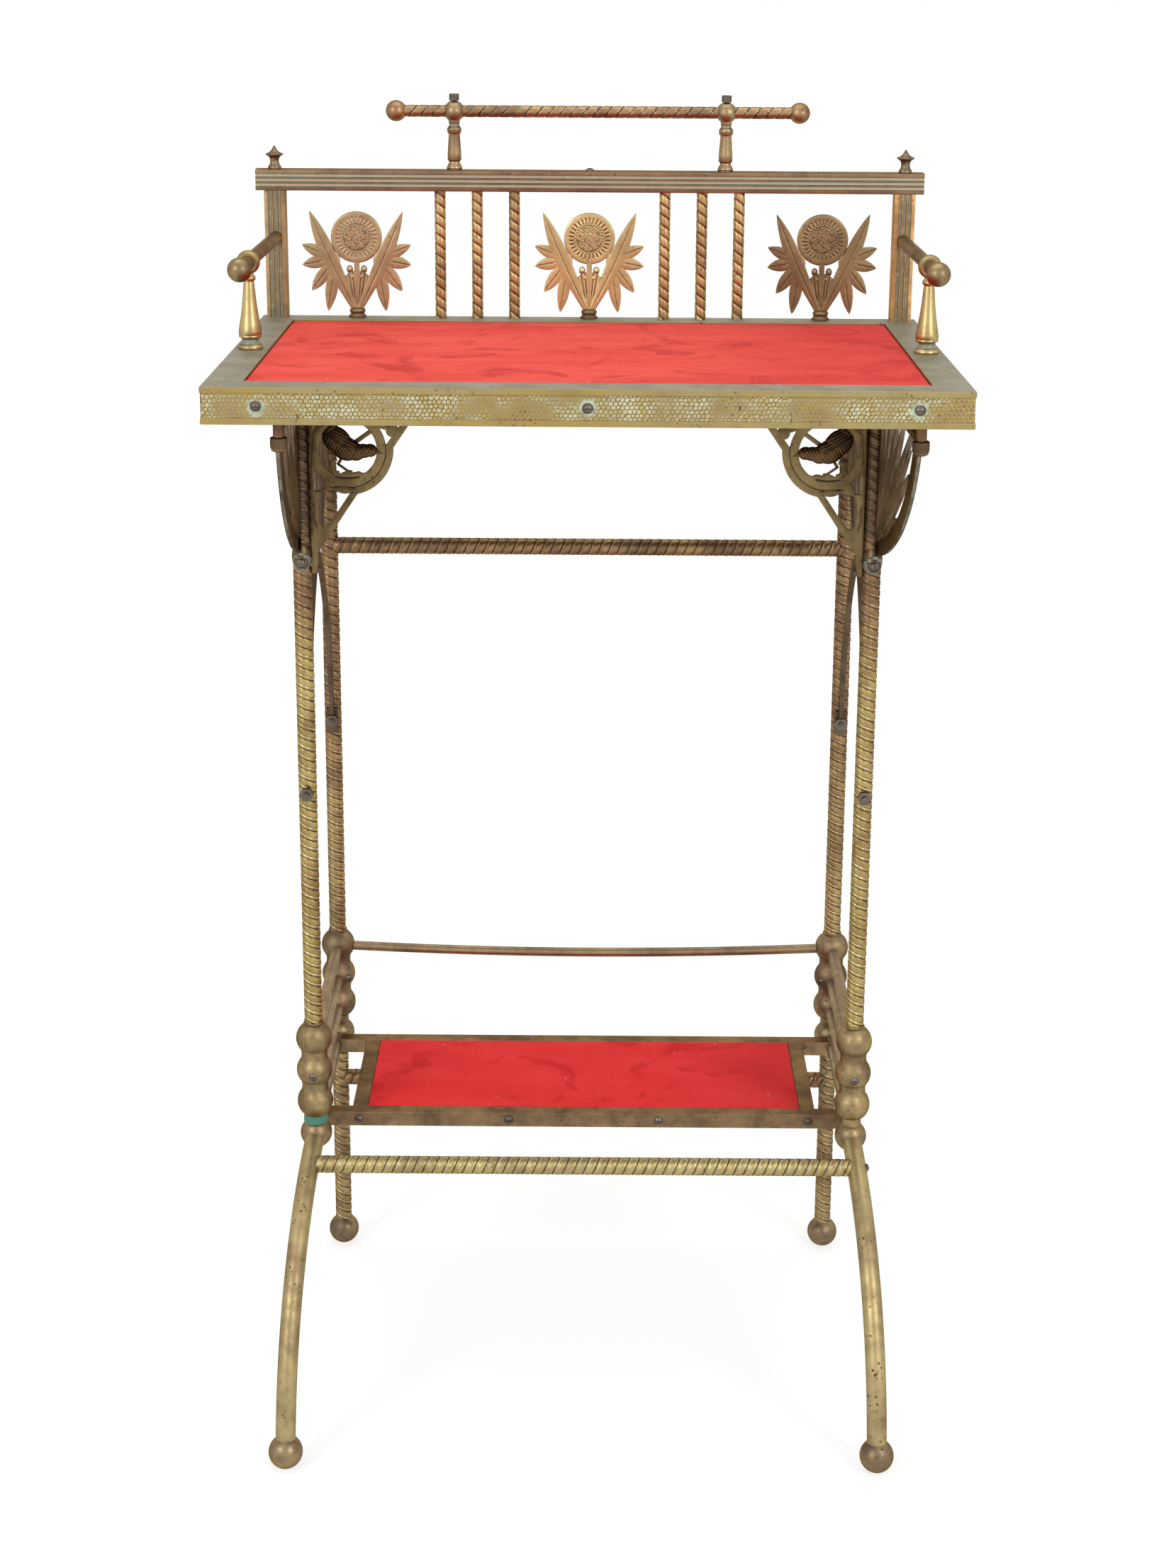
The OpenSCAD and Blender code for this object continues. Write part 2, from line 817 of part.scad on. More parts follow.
module plume_bracket(side) {
    saddle_w = leg_d - 2;
    color(BRONZE) difference() {
        plume_side(side) {
            stand_xz(casting_t) plume_outline();
            translate([0, -saddle_w / 2, bracket_screw_z - 11]) cube([leg_d / 2 + saddle_t, saddle_w, 30]);
            translate([lug_u, 0, lug_z - boss_h / 2]) cylinder(d = hanger_d + 5, h = boss_h);
        }
        front_leg_tube(side);
        plume_side(side) hanger_rod();
        bracket_screw_places() screw_hole(bracket_shank);
    }
}

// A quarter ring with a fan of feathers inside
module plume_outline() {
    fan_z = bracket_screw_z + 26;
    intersection() {
        union() {
            translate([plume_centre_u, plume_centre_z]) ring(plume_r, plume_rim);
            strap([lug_u, lug_z], [20, board_bottom - 5], 8);
            translate([0, bracket_screw_z]) square([leg_d / 2 + 6, board_bottom - bracket_screw_z]);
            for (i = [0:5]) translate([4, fan_z]) rotate(82 - 11 * i) leaf(118 - 2 * i, 22);
        }
        translate([0, bracket_screw_z + 10]) square([lug_u, board_bottom - bracket_screw_z - 10]);
    }
}

module hanger_rod() {
    bottom = lug_z - boss_h / 2;
    translate([lug_u, 0, bottom]) cylinder(d = hanger_d, h = board_bottom - bottom);
}

// A stud with a round foot hangs each plume bracket from the board
module plume_hangers() {
    color(BRASS) for (side = SIDES) plume_side(side) {
        hanger_rod();
        translate([lug_u, 0, lug_z - boss_h / 2 - 3.5]) cylinder(d = hanger_d + 4, h = 3.5);
    }
}

// Places its children in the upright plane between the two legs of one side
module panel_side(side) {
    translate([side * leg_x, mid_y, 0]) rotate([0, 0, 90]) children();
}

// A pierced casting between two legs, with a pointed arch under it and two bolted feet
module side_panel(side) {
    color(BRONZE) difference() {
        panel_side(side) {
            stand_xz(casting_t) panel_outline();
            for (end = SIDES)
                translate([end * (arch_half - foot_t / 2 + 1), 0, nut_z])
                    cube([foot_t + 2, foot_w, foot_h], center = true);
        }
        front_leg_tube(side);
        rear_leg_tube(side);
        panel_bolt_places() {
            bolt_hole();
            bolt_room();
        }
    }
}

// The panel's outline, where u = 0 is halfway between the legs
module panel_outline() {
    apex = nut_z + arch_rise;
    fan_z = apex + 12;
    difference() {
        intersection() {
            union() {
                lancet(arch_r);
                translate([-arch_half, apex - 8]) square([2 * arch_half, board_bottom - apex + 8]);
            }
            translate([-arch_half, nut_z]) square([2 * arch_half, board_bottom - nut_z]);
        }
        lancet(arch_r - arch_rib);
        for (side = SIDES) translate([side * arch_half, apex - 16]) circle(r = corner_r, $fn = 96);
        translate([0, fan_z]) rotate(90) leaf(board_bottom - fan_z - 10, 20);
        for (side = SIDES, f = side_leaves)
            translate([side * f[0], fan_z + f[1]]) rotate(90 - side * f[2]) leaf(f[3], f[4]);
    }
}

// The pointed arch, where two large circles cross
module lancet(r) {
    intersection() {
        translate([-arch_offset, nut_z]) circle(r = r, $fn = 144);
        translate([arch_offset, nut_z]) circle(r = r, $fn = 144);
    }
}

// ---- fasteners -----------------------------------------------------------

// Places its children at each panel bolt, with its nut's seat on z = 0 and +Z forwards
module panel_bolt_places() {
    for (side = SIDES) {
        translate([side * leg_x, front_leg_y - leg_d / 2, nut_z]) rotate([90, 0, 0]) children();
        translate([side * leg_x, rear_leg_y - leg_d / 2 - foot_t, nut_z]) rotate([90, 0, 0]) children();
    }
}

module bolt_hole() {
    through = leg_d + foot_t;
    translate([0, 0, -through - 1]) cylinder(d = bolt_d, h = through + 2);
}

// The air that a bolt's nut and head need in a casting
module bolt_room() {
    cylinder(d = nut_d + 1, h = nut_h + bolt_tip + 1);
    translate([0, 0, -leg_d - foot_t - bolt_head_h - 1]) cylinder(d = bolt_head_d + 1, h = bolt_head_h + 1);
}

module panel_bolts() {
    through = leg_d + foot_t;
    color(STEEL) panel_bolt_places() {
        cylinder(d = nut_d, h = nut_h, $fn = 6);
        translate([0, 0, -through]) cylinder(d = bolt_d, h = through + nut_h + bolt_tip);
        translate([0, 0, -through - bolt_head_h]) cylinder(d = bolt_head_d, h = bolt_head_h);
    }
}

// Places its children at the screws through the plume saddles and the bird tabs
module bracket_screw_places() {
    for (side = SIDES) {
        plume_side(side) translate([leg_d / 2 + saddle_t, 0, bracket_screw_z]) rotate([0, 90, 0])
            children();
        bird_side(side) translate([leg_edge - tab_w, 0, bracket_screw_z - 8]) rotate([0, -90, 0])
            children();
    }
}

module bracket_screws() {
    color(STEEL) bracket_screw_places() screw(bracket_shank);
}

// Places its children at the screw in the middle ball of each stack
module stack_screw_places() {
    seat = sqrt(stack_ball_d * stack_ball_d - screw_head_d * screw_head_d) / 2;
    for (side = SIDES) {
        translate([side * leg_x, front_leg_y, stack_heights[1]]) rotate([90, 0, 0])
            translate([0, 0, seat]) children();
        translate([side * leg_x, rear_leg_y, stack_heights[1]]) rotate([90, 0, -side * stack_screw_turn])
            translate([0, 0, seat]) children();
    }
}

module shelf_screw_places() {
    for (i = [-1.5:1:1.5]) {
        translate([i * shelf_screw_gap, shelf_y, knee_z]) rotate([90, 0, 0]) children();
        translate([i * shelf_screw_gap, shelf_back_y, knee_z]) rotate([-90, 0, 0]) children();
    }
}

// One screw holds the front stretcher, through the right curved leg
module stretcher_screw_place() {
    translate([stretcher_front_x + curved_leg_d / 2, stretcher_front_y, stretcher_front_z])
        rotate([0, 90, 0]) children();
}

module frame_screws() {
    color(STEEL) {
        shelf_screw_places() screw(shelf_shank);
        stack_screw_places() screw(stack_screw_len);
        stretcher_screw_place() screw(stretcher_screw_len);
        rail_screw_place() screw(shank_len);
    }
}

top_frame_front();
top_frame_back();
top_frame_end(-1);  // top_frame_left
top_frame_end(1);  // top_frame_right
top_board();
top_velvet();
apron_screws();
gallery_post(-1);  // gallery_post_left
gallery_post(1);  // gallery_post_right
gallery_rail();
spindles(-1);  // spindles_left
spindles(1);  // spindles_right
flower(-flower_x);  // flower_left
flower(0);  // flower_middle
flower(flower_x);  // flower_right
flower_sockets();
finials();
bar_pillar(-1);  // bar_pillar_left
bar_pillar(1);  // bar_pillar_right
clamp_screws();
top_bar();
top_bar_balls();
arm_baluster(-1);  // arm_baluster_left
arm_baluster(1);  // arm_baluster_right
arm_tube(-1);  // arm_tube_left
arm_tube(1);  // arm_tube_right
arm_balls();
front_leg(-1);  // front_leg_left
front_leg(1);  // front_leg_right
rear_leg(-1);  // rear_leg_left
rear_leg(1);  // rear_leg_right
front_stack(-1);  // front_stack_left
front_stack(1);  // front_stack_right
rear_stack(-1);  // rear_stack_left
rear_stack(1);  // rear_stack_right
knee_balls();
curved_leg(-1);  // curved_leg_left
curved_leg(1);  // curved_leg_right
foot_balls();
side_rods(-1);  // side_rods_left
side_rods(1);  // side_rods_right
thin_rear_rod();
rear_stretcher(stretcher_upper_z);  // stretcher_rear_upper
rear_stretcher(stretcher_lower_z);  // stretcher_rear_lower
stretcher_front();
shelf_cross_bar(shelf_y);  // shelf_bar_front
shelf_cross_bar(shelf_back_y - shelf_bar);  // shelf_bar_rear
shelf_ends();
shelf_board();
shelf_velvet();
bird_bracket(-1);  // bird_bracket_left
bird_bracket(1);  // bird_bracket_right
plume_bracket(-1);  // plume_bracket_left
plume_bracket(1);  // plume_bracket_right
plume_hangers();
side_panel(-1);  // side_panel_left
side_panel(1);  // side_panel_right
bracket_screws();
panel_bolts();
frame_screws();
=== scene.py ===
# %% [markdown]
# # A brass music stand
# This notebook dresses a measured model of an old brass music stand: a velvet table on twisted legs,
# with a reeded gallery, cast flowers, a sliding top bar and a small shelf. The measured model is
# loaded first and never moved. Wherever its shape is plain, a finer piece is modelled in the same
# place and takes over from it.

# %% Load the measured model
import math

import bpy
from mathutils import Matrix, Vector, noise


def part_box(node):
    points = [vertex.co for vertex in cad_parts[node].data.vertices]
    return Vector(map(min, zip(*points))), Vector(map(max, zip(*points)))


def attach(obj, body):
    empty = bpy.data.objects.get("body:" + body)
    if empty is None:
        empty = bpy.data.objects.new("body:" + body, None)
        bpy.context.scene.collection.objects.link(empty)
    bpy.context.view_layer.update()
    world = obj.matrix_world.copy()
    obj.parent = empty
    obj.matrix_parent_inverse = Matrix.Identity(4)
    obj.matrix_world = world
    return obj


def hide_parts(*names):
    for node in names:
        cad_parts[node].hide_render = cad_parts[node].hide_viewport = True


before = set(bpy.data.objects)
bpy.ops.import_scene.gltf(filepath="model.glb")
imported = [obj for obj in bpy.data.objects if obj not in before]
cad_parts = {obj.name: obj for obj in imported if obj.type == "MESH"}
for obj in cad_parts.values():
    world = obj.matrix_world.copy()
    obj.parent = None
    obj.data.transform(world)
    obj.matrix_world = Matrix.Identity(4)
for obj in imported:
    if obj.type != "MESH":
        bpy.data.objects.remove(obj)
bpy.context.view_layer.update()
bpy.ops.object.select_all(action="DESELECT")
MM = 0.001

# %% [markdown]
# ## Camera
# The stand is seen from the front, from a little above the table, with a long lens. A long lens keeps
# the legs almost parallel, and the small shift frames the stand without tipping the camera further.

# %% Camera
LENS = 57.97  # mm, on a 36 mm tall sensor
CAMERA_PLACE = Vector((0.0028, -2.1477, 1.2845))
CAMERA_DOWN = 0.2701  # radians
CAMERA_TURN = 0.0007
CAMERA_ROLL = 0.0066


def make_camera():
    bpy.ops.object.camera_add(location=CAMERA_PLACE)
    camera = bpy.context.object
    aim = Matrix.Rotation(CAMERA_TURN, 4, "Z") @ Matrix.Rotation(math.pi / 2 - CAMERA_DOWN, 4, "X")
    camera.rotation_euler = (aim @ Matrix.Rotation(CAMERA_ROLL, 4, "Z")).to_euler()
    camera.data.lens = LENS
    camera.data.sensor_width = 36
    camera.data.shift_y = -0.0859
    camera.data.clip_end = 200
    bpy.context.scene.camera = camera


make_camera()
bpy.context.scene.view_settings.view_transform = "Standard"

# %% [markdown]
# ## Studio
# A white floor runs out to a white world. Rays from the camera, and rays that bounce off polished
# metal, see the white studio at full strength, while the light that falls on the stand comes from a
# weaker world and from soft lamps, so nothing clips. Two lamps stand in front, one on each side, and
# a wide one hangs above.

# %% World and floor
FLOOR_SIZE = 80.0
WORLD_LIGHT = 0.62
FLOOR_GLOW = 0.73
FAR_GLOW = 0.84


def studio_rays(tree):
    """A factor of 1 for camera, glossy and transmission rays."""
    path = tree.nodes.new("ShaderNodeLightPath")
    total = tree.nodes.new("ShaderNodeMath")
    total.operation = "ADD"
    tree.links.new(path.outputs["Is Camera Ray"], total.inputs[0])
    tree.links.new(path.outputs["Is Glossy Ray"], total.inputs[1])
    both = tree.nodes.new("ShaderNodeMath")
    both.operation = "ADD"
    both.use_clamp = True
    tree.links.new(total.outputs[0], both.inputs[0])
    tree.links.new(path.outputs["Is Transmission Ray"], both.inputs[1])
    return both.outputs[0]


def make_world():
    world = bpy.data.worlds.new("studio")
    bpy.context.scene.world = world
    world.use_nodes = True
    tree = world.node_tree
    light = tree.nodes["Background"]
    light.inputs["Color"].default_value = (1, 1, 1, 1)
    light.inputs["Strength"].default_value = WORLD_LIGHT
    white = tree.nodes.new("ShaderNodeBackground")
    white.inputs["Color"].default_value = (1, 1, 1, 1)
    mix = tree.nodes.new("ShaderNodeMixShader")
    tree.links.new(studio_rays(tree), mix.inputs["Fac"])
    tree.links.new(light.outputs[0], mix.inputs[1])
    tree.links.new(white.outputs[0], mix.inputs[2])
    tree.links.new(mix.outputs[0], tree.nodes["World Output"].inputs["Surface"])


def make_floor():
    bpy.ops.mesh.primitive_plane_add(size=FLOOR_SIZE, location=(0, 0, 0))
    floor = bpy.context.object
    floor.name = "studio_floor"
    material = bpy.data.materials.new("studio_floor")
    material.use_nodes = True
    tree = material.node_tree
    tree.nodes.remove(tree.nodes["Principled BSDF"])
    paper = tree.nodes.new("ShaderNodeBsdfDiffuse")
    paper.inputs["Color"].default_value = (0.82, 0.82, 0.82, 1)
    seen = tree.nodes.new("ShaderNodeBsdfDiffuse")
    seen.inputs["Color"].default_value = (0.36, 0.36, 0.36, 1)
    glow = tree.nodes.new("ShaderNodeEmission")
    far = tree.nodes.new("ShaderNodeVectorMath")
    far.operation = "LENGTH"
    tree.links.new(tree.nodes.new("ShaderNodeTexCoord").outputs["Object"], far.inputs[0])
    rise = tree.nodes.new("ShaderNodeMapRange")
    rise.interpolation_type = "SMOOTHSTEP"
    tree.links.new(far.outputs["Value"], rise.inputs["Value"])
    for label, value in (("From Min", 0.6), ("From Max", 4.0), ("To Min", FLOOR_GLOW), ("To Max", FAR_GLOW)):
        rise.inputs[label].default_value = value
    tree.links.new(rise.outputs["Result"], glow.inputs["Strength"])
    both = tree.nodes.new("ShaderNodeAddShader")
    tree.links.new(seen.outputs[0], both.inputs[0])
    tree.links.new(glow.outputs[0], both.inputs[1])
    mix = tree.nodes.new("ShaderNodeMixShader")
    tree.links.new(studio_rays(tree), mix.inputs["Fac"])
    tree.links.new(paper.outputs[0], mix.inputs[1])
    tree.links.new(both.outputs[0], mix.inputs[2])
    tree.links.new(mix.outputs[0], tree.nodes["Material Output"].inputs["Surface"])
    floor.data.materials.append(material)


make_world()
make_floor()

# %% Lamps
AIM = Vector((0, 0, 0.7))


def soft_lamp(name, place, width, height, watts):
    bpy.ops.object.light_add(type="AREA", location=place)
    lamp = bpy.context.object
    lamp.name = name
    lamp.data.shape = "RECTANGLE"
    lamp.data.size = width
    lamp.data.size_y = height
    lamp.data.energy = watts
    lamp.rotation_euler = (AIM - Vector(place)).to_track_quat("-Z", "Y").to_euler()


soft_lamp("lamp_left", (-1.9, -2.3, 2.0), 0.7, 1.3, 30)
soft_lamp("lamp_right", (1.9, -2.3, 2.0), 0.7, 1.3, 30)
soft_lamp("lamp_above", (0, 0.2, 2.9), 2.2, 1.6, 16)

# %% [markdown]
# ## Old brass
# Old brass is never one colour. It is bright where hands rub it, brown where it has tarnished,
# spotted where damp has sat, and pale green in the seams. Every metal below shares one node group
# that mixes these stages, and each material gives it its own colours. Where a piece is modelled with
# grooves, a vertex attribute called "seam" runs from 0 on the surface to 1 in the groove, so that
# dirt and green settle exactly where the metal goes in.
# On the twisted tubes the same mask also paints shadow under each bead and shade on its flanks, and on the bird's
# feathers a negative mask paints a highlight.

# %% Node group helpers


def new_group(name, inputs, outputs):
    """A shader node group with named sockets; each input is (name, kind, value)."""
    group = bpy.data.node_groups.new(name, "ShaderNodeTree")
    for label, kind, value in inputs:
        socket = group.interface.new_socket(name=label, in_out="INPUT", socket_type=kind)
        socket.default_value = value
    for label, kind in outputs:
        group.interface.new_socket(name=label, in_out="OUTPUT", socket_type=kind)
    return group, group.nodes.new("NodeGroupInput"), group.nodes.new("NodeGroupOutput")


def noise_node(tree, vector, scale, detail=3.0, roughness=0.55):
    node = tree.nodes.new("ShaderNodeTexNoise")
    node.inputs["Scale"].default_value = scale
    node.inputs["Detail"].default_value = detail
    node.inputs["Roughness"].default_value = roughness
    tree.links.new(vector, node.inputs["Vector"])
    return node.outputs["Fac"]


def ramp(tree, value, low, high, to_low=0.0, to_high=1.0):
    """Stretches the part of a value between low and high, with soft ends."""
    node = tree.nodes.new("ShaderNodeMapRange")
    node.interpolation_type = "SMOOTHSTEP"
    tree.links.new(value, node.inputs["Value"])
    node.inputs["From Min"].default_value = low
    node.inputs["From Max"].default_value = high
    node.inputs["To Min"].default_value = to_low
    node.inputs["To Max"].default_value = to_high
    return node.outputs["Result"]


def calc(tree, operation, first, second, clamp=False):
    """A Math node; each operand is a socket or a number."""
    node = tree.nodes.new("ShaderNodeMath")
    node.operation = operation
    node.use_clamp = clamp
    for operand, socket in zip((first, second), node.inputs):
        if isinstance(operand, (int, float)):
            socket.default_value = operand
        else:
            tree.links.new(operand, socket)
    return node.outputs[0]


def blend_colours(tree, factor, first, second):
    node = tree.nodes.new("ShaderNodeMix")
    node.data_type = "RGBA"
    tree.links.new(factor, node.inputs["Factor"])
    for colour, socket in ((first, node.inputs["A"]), (second, node.inputs["B"])):
        if isinstance(colour, tuple):
            socket.default_value = (*colour, 1)
        else:
            tree.links.new(colour, socket)
    return node.outputs["Result"]


# %% The ageing group
AGE_INPUTS = [
    ("Bright", "NodeSocketColor", (0.5, 0.4, 0.2, 1)),
    ("Tarnish", "NodeSocketColor", (0.2, 0.15, 0.08, 1)),
    ("Spots", "NodeSocketColor", (0.08, 0.05, 0.03, 1)),
    ("Green", "NodeSocketColor", (0.36, 0.42, 0.3, 1)),
    ("Worn Edge And Highlight", "NodeSocketColor", (0.62, 0.58, 0.42, 1)),
    ("Seam", "NodeSocketFloat", 0.0),
    ("Tarnish Amount", "NodeSocketFloat", 0.5),
    ("Spot Amount", "NodeSocketFloat", 0.5),
    ("Green Amount", "NodeSocketFloat", 0.5),
    ("Green Cover", "NodeSocketFloat", 0.0),
    ("Roughness", "NodeSocketFloat", 0.36),
]
AGE_OUTPUTS = [
    ("Color", "NodeSocketColor"),
    ("Roughness", "NodeSocketFloat"),
    ("Metallic", "NodeSocketFloat"),
    ("Height", "NodeSocketFloat"),
]


def make_age_group():
    tree, ins, outs = new_group("aged_metal", AGE_INPUTS, AGE_OUTPUTS)
    place = tree.nodes.new("ShaderNodeTexCoord").outputs["Object"]
    clouds = noise_node(tree, place, 26, 4)
    rubbed = noise_node(tree, place, 90, 4, 0.65)
    grain = noise_node(tree, place, 900, 2)
    patches = calc(tree, "ADD", calc(tree, "MULTIPLY", clouds, 0.62), calc(tree, "MULTIPLY", rubbed, 0.38))
    shifted = calc(tree, "ADD", patches, calc(tree, "MULTIPLY", ins.outputs["Tarnish Amount"], 0.34))
    dull = ramp(tree, shifted, 0.5, 0.84)
    colour = blend_colours(tree, dull, ins.outputs["Bright"], ins.outputs["Tarnish"])
    # dark specks of corrosion, in small clusters
    cells = tree.nodes.new("ShaderNodeTexVoronoi")
    cells.inputs["Scale"].default_value = 210
    tree.links.new(place, cells.inputs["Vector"])
    speck = ramp(tree, cells.outputs["Distance"], 0.34, 0.16)
    cluster = ramp(tree, noise_node(tree, place, 48, 3), 0.66, 0.5)
    cluster = calc(tree, "SUBTRACT", 1.0, cluster)
    spots = calc(tree, "MULTIPLY", calc(tree, "MULTIPLY", speck, cluster), ins.outputs["Spot Amount"], True)
    colour = blend_colours(tree, spots, colour, ins.outputs["Spots"])
    # dirt in the grooves, and green over part of it; on the twisted tubes the same mask also paints shade beside
    # each bead
    seam = ins.outputs["Seam"]
    dirt = ramp(tree, seam, 0.12, 0.6, 0.0, 0.92)
    colour = blend_colours(tree, dirt, colour, ins.outputs["Spots"])
    bloom = ramp(tree, noise_node(tree, place, 150, 4, 0.7), 0.42, 0.62)
    bloom = calc(tree, "MAXIMUM", bloom, ins.outputs["Green Cover"])
    seam_green = calc(tree, "MULTIPLY", ramp(tree, seam, 0.62, 0.95), bloom)
    # a negative mask marks the sharp edges that polishing cloths keep pale, and on the bird's feathers it paints a
    # highlight on each tip
    fresh = ramp(tree, noise_node(tree, place, 60, 3), 0.35, 0.65, 0.2, 1.0)
    worn_and_highlight = calc(tree, "MULTIPLY", ramp(tree, seam, -0.2, -0.8), fresh)
    colour = blend_colours(tree, worn_and_highlight, colour, ins.outputs["Worn Edge And Highlight"])
    stray = ramp(tree, noise_node(tree, place, 70, 5, 0.75), 0.68, 0.76, 0.0, 0.5)
    green = calc(tree, "MULTIPLY", calc(tree, "ADD", seam_green, stray), ins.outputs["Green Amount"], True)
    colour = blend_colours(tree, green, colour, ins.outputs["Green"])
    tree.links.new(colour, outs.inputs["Color"])
    crust = calc(tree, "MAXIMUM", green, spots)
    tree.links.new(calc(tree, "SUBTRACT", 1.0, calc(tree, "MULTIPLY", crust, 0.8)), outs.inputs["Metallic"])
    rough = calc(tree, "ADD", ins.outputs["Roughness"], calc(tree, "MULTIPLY", dull, 0.12))
    rough = calc(tree, "ADD", rough, calc(tree, "MULTIPLY", crust, 0.3), True)
    tree.links.new(rough, outs.inputs["Roughness"])
    height = calc(tree, "ADD", calc(tree, "MULTIPLY", grain, 0.35), calc(tree, "MULTIPLY", rubbed, 0.8))
    height = calc(tree, "ADD", height, calc(tree, "MULTIPLY", crust, 0.5))
    tree.links.new(height, outs.inputs["Height"])
    return tree


AGED_METAL = make_age_group()

# %% Metals


def new_material(name):
    material = bpy.data.materials.new(name)
    material.use_nodes = True
    tree = material.node_tree
    return material, tree, tree.nodes["Principled BSDF"]


def seam_of(tree):
    """The groove mask that the modelled pieces carry, which on the twisted tubes and the bird also holds painted
    shade and highlight; it is 0 on a piece without one.
    """
    node = tree.nodes.new("ShaderNodeAttribute")
    node.attribute_name = "seam"
    return node.outputs["Fac"]


def bump(tree, shader, height, distance, strength=0.6):
    node = tree.nodes.new("ShaderNodeBump")
    node.inputs["Strength"].default_value = strength
    node.inputs["Distance"].default_value = distance
    tree.links.new(height, node.inputs["Height"])
    tree.links.new(node.outputs[0], shader.inputs["Normal"])


EDGE_TINT = (0.50, 0.42, 0.32, 1)


def height_ramp(tree, low, high):
    """0 below the height low, in metres, and 1 above high."""
    parts = tree.nodes.new("ShaderNodeSeparateXYZ")
    tree.links.new(tree.nodes.new("ShaderNodeTexCoord").outputs["Object"], parts.inputs[0])
    return ramp(tree, parts.outputs["Z"], low, high)


def aged(name, bright, tarnish, spots=(0.07, 0.045, 0.03), green=(0.36, 0.43, 0.31), amount=0.5,
         specks=0.5, verdigris=0.5, cover=0.0, roughness=0.36, edge=(0.62, 0.58, 0.42), higher=()):
    """An aged metal; each row of higher is (low, high, bright, tarnish, edge) and takes over above low."""
    material, tree, shader = new_material(name)
    age = tree.nodes.new("ShaderNodeGroup")
    age.node_tree = AGED_METAL
    for label, colour in (("Bright", bright), ("Tarnish", tarnish), ("Spots", spots), ("Green", green),
                          ("Worn Edge And Highlight", edge)):
        age.inputs[label].default_value = (*colour, 1)
    for low, high, bright_above, tarnish_above, edge_above in higher:
        factor = height_ramp(tree, low, high)
        bright = blend_colours(tree, factor, bright, bright_above)
        tarnish = blend_colours(tree, factor, tarnish, tarnish_above)
        edge = blend_colours(tree, factor, edge, edge_above)
    if higher:
        tree.links.new(edge, age.inputs["Worn Edge And Highlight"])
        tree.links.new(bright, age.inputs["Bright"])
        tree.links.new(tarnish, age.inputs["Tarnish"])
    shader.inputs["Specular Tint"].default_value = EDGE_TINT
    age.inputs["Tarnish Amount"].default_value = amount
    age.inputs["Spot Amount"].default_value = specks
    age.inputs["Green Amount"].default_value = verdigris
    age.inputs["Green Cover"].default_value = cover
    age.inputs["Roughness"].default_value = roughness
    tree.links.new(seam_of(tree), age.inputs["Seam"])
    for label, socket in (("Color", "Base Color"), ("Roughness", "Roughness"), ("Metallic", "Metallic")):
        tree.links.new(age.outputs[label], shader.inputs[socket])
    bump(tree, shader, age.outputs["Height"], 0.0002)
    return material


ball_brass = aged("ball_brass", (0.34, 0.255, 0.13), (0.18, 0.125, 0.07), amount=0.55, specks=0.6)
stack_brass = aged("stack_brass", (0.42, 0.32, 0.15), (0.19, 0.13, 0.07), green=(0.10, 0.33, 0.24),
                   verdigris=0.9, cover=0.85, amount=0.62, roughness=0.4)
rear_brass = aged("rear_brass", (0.36, 0.265, 0.14), (0.15, 0.105, 0.065), green=(0.30, 0.42, 0.32),
                  verdigris=0.9, cover=0.6, amount=0.65, roughness=0.42)
foot_brass = aged("foot_brass", (0.34, 0.255, 0.135), (0.15, 0.105, 0.07), amount=0.6, specks=0.8)
curved_brass = aged("curved_brass", (0.47, 0.37, 0.18), (0.26, 0.19, 0.10), amount=0.42, specks=0.9,
                    roughness=0.42)
DARK_TOP = (0.78, 0.81, (0.13, 0.085, 0.05), (0.07, 0.042, 0.03), (0.32, 0.24, 0.12))
COPPER_TOP = (0.66, 0.75, (0.34, 0.20, 0.095), (0.17, 0.09, 0.05), (0.50, 0.47, 0.34))
golden_twist = aged("golden_twist", (0.50, 0.385, 0.145), (0.28, 0.175, 0.066), spots=(0.075, 0.05, 0.03),
                    amount=0.46, verdigris=0.3, edge=(0.62, 0.61, 0.43), higher=(COPPER_TOP, DARK_TOP))
low_twist = aged("low_twist", (0.50, 0.40, 0.17), (0.31, 0.23, 0.105), spots=(0.08, 0.055, 0.033),
                 amount=0.36, verdigris=0.3, edge=(0.64, 0.63, 0.45))
copper_twist = aged("copper_twist", (0.46, 0.33, 0.14), (0.22, 0.135, 0.065), spots=(0.06, 0.04, 0.028),
                    amount=0.5, verdigris=0.3, edge=(0.46, 0.44, 0.31),
                    higher=((0.42, 0.60, (0.36, 0.215, 0.10), (0.15, 0.085, 0.05), (0.42, 0.37, 0.25)),
                            (0.74, 0.80, (0.20, 0.12, 0.065), (0.09, 0.055, 0.035), (0.30, 0.23, 0.13))))
upper_twist = aged("upper_twist", (0.36, 0.225, 0.105), (0.17, 0.10, 0.055), spots=(0.05, 0.034, 0.026),
                   amount=0.5, verdigris=0.25, edge=(0.42, 0.34, 0.20))
spindle_brass = aged("spindle_brass", (0.56, 0.38, 0.17), (0.30, 0.19, 0.09), spots=(0.06, 0.038, 0.026),
                     amount=0.42, verdigris=0.5, edge=(0.74, 0.60, 0.38))
bar_bronze = aged("bar_bronze", (0.42, 0.27, 0.14), (0.21, 0.125, 0.07), spots=(0.05, 0.035, 0.028),
                  amount=0.45, verdigris=0.5, edge=(0.72, 0.55, 0.34))
rail_bronze = aged("rail_bronze", (0.29, 0.185, 0.10), (0.17, 0.11, 0.07), spots=(0.06, 0.045, 0.032),
                   green=(0.50, 0.50, 0.36), verdigris=1.0, cover=0.85, roughness=0.42)
post_bronze = aged("post_bronze", (0.46, 0.315, 0.15), (0.25, 0.17, 0.09), spots=(0.09, 0.06, 0.045),
                   green=(0.37, 0.355, 0.235), verdigris=0.95, cover=0.6, roughness=0.42)
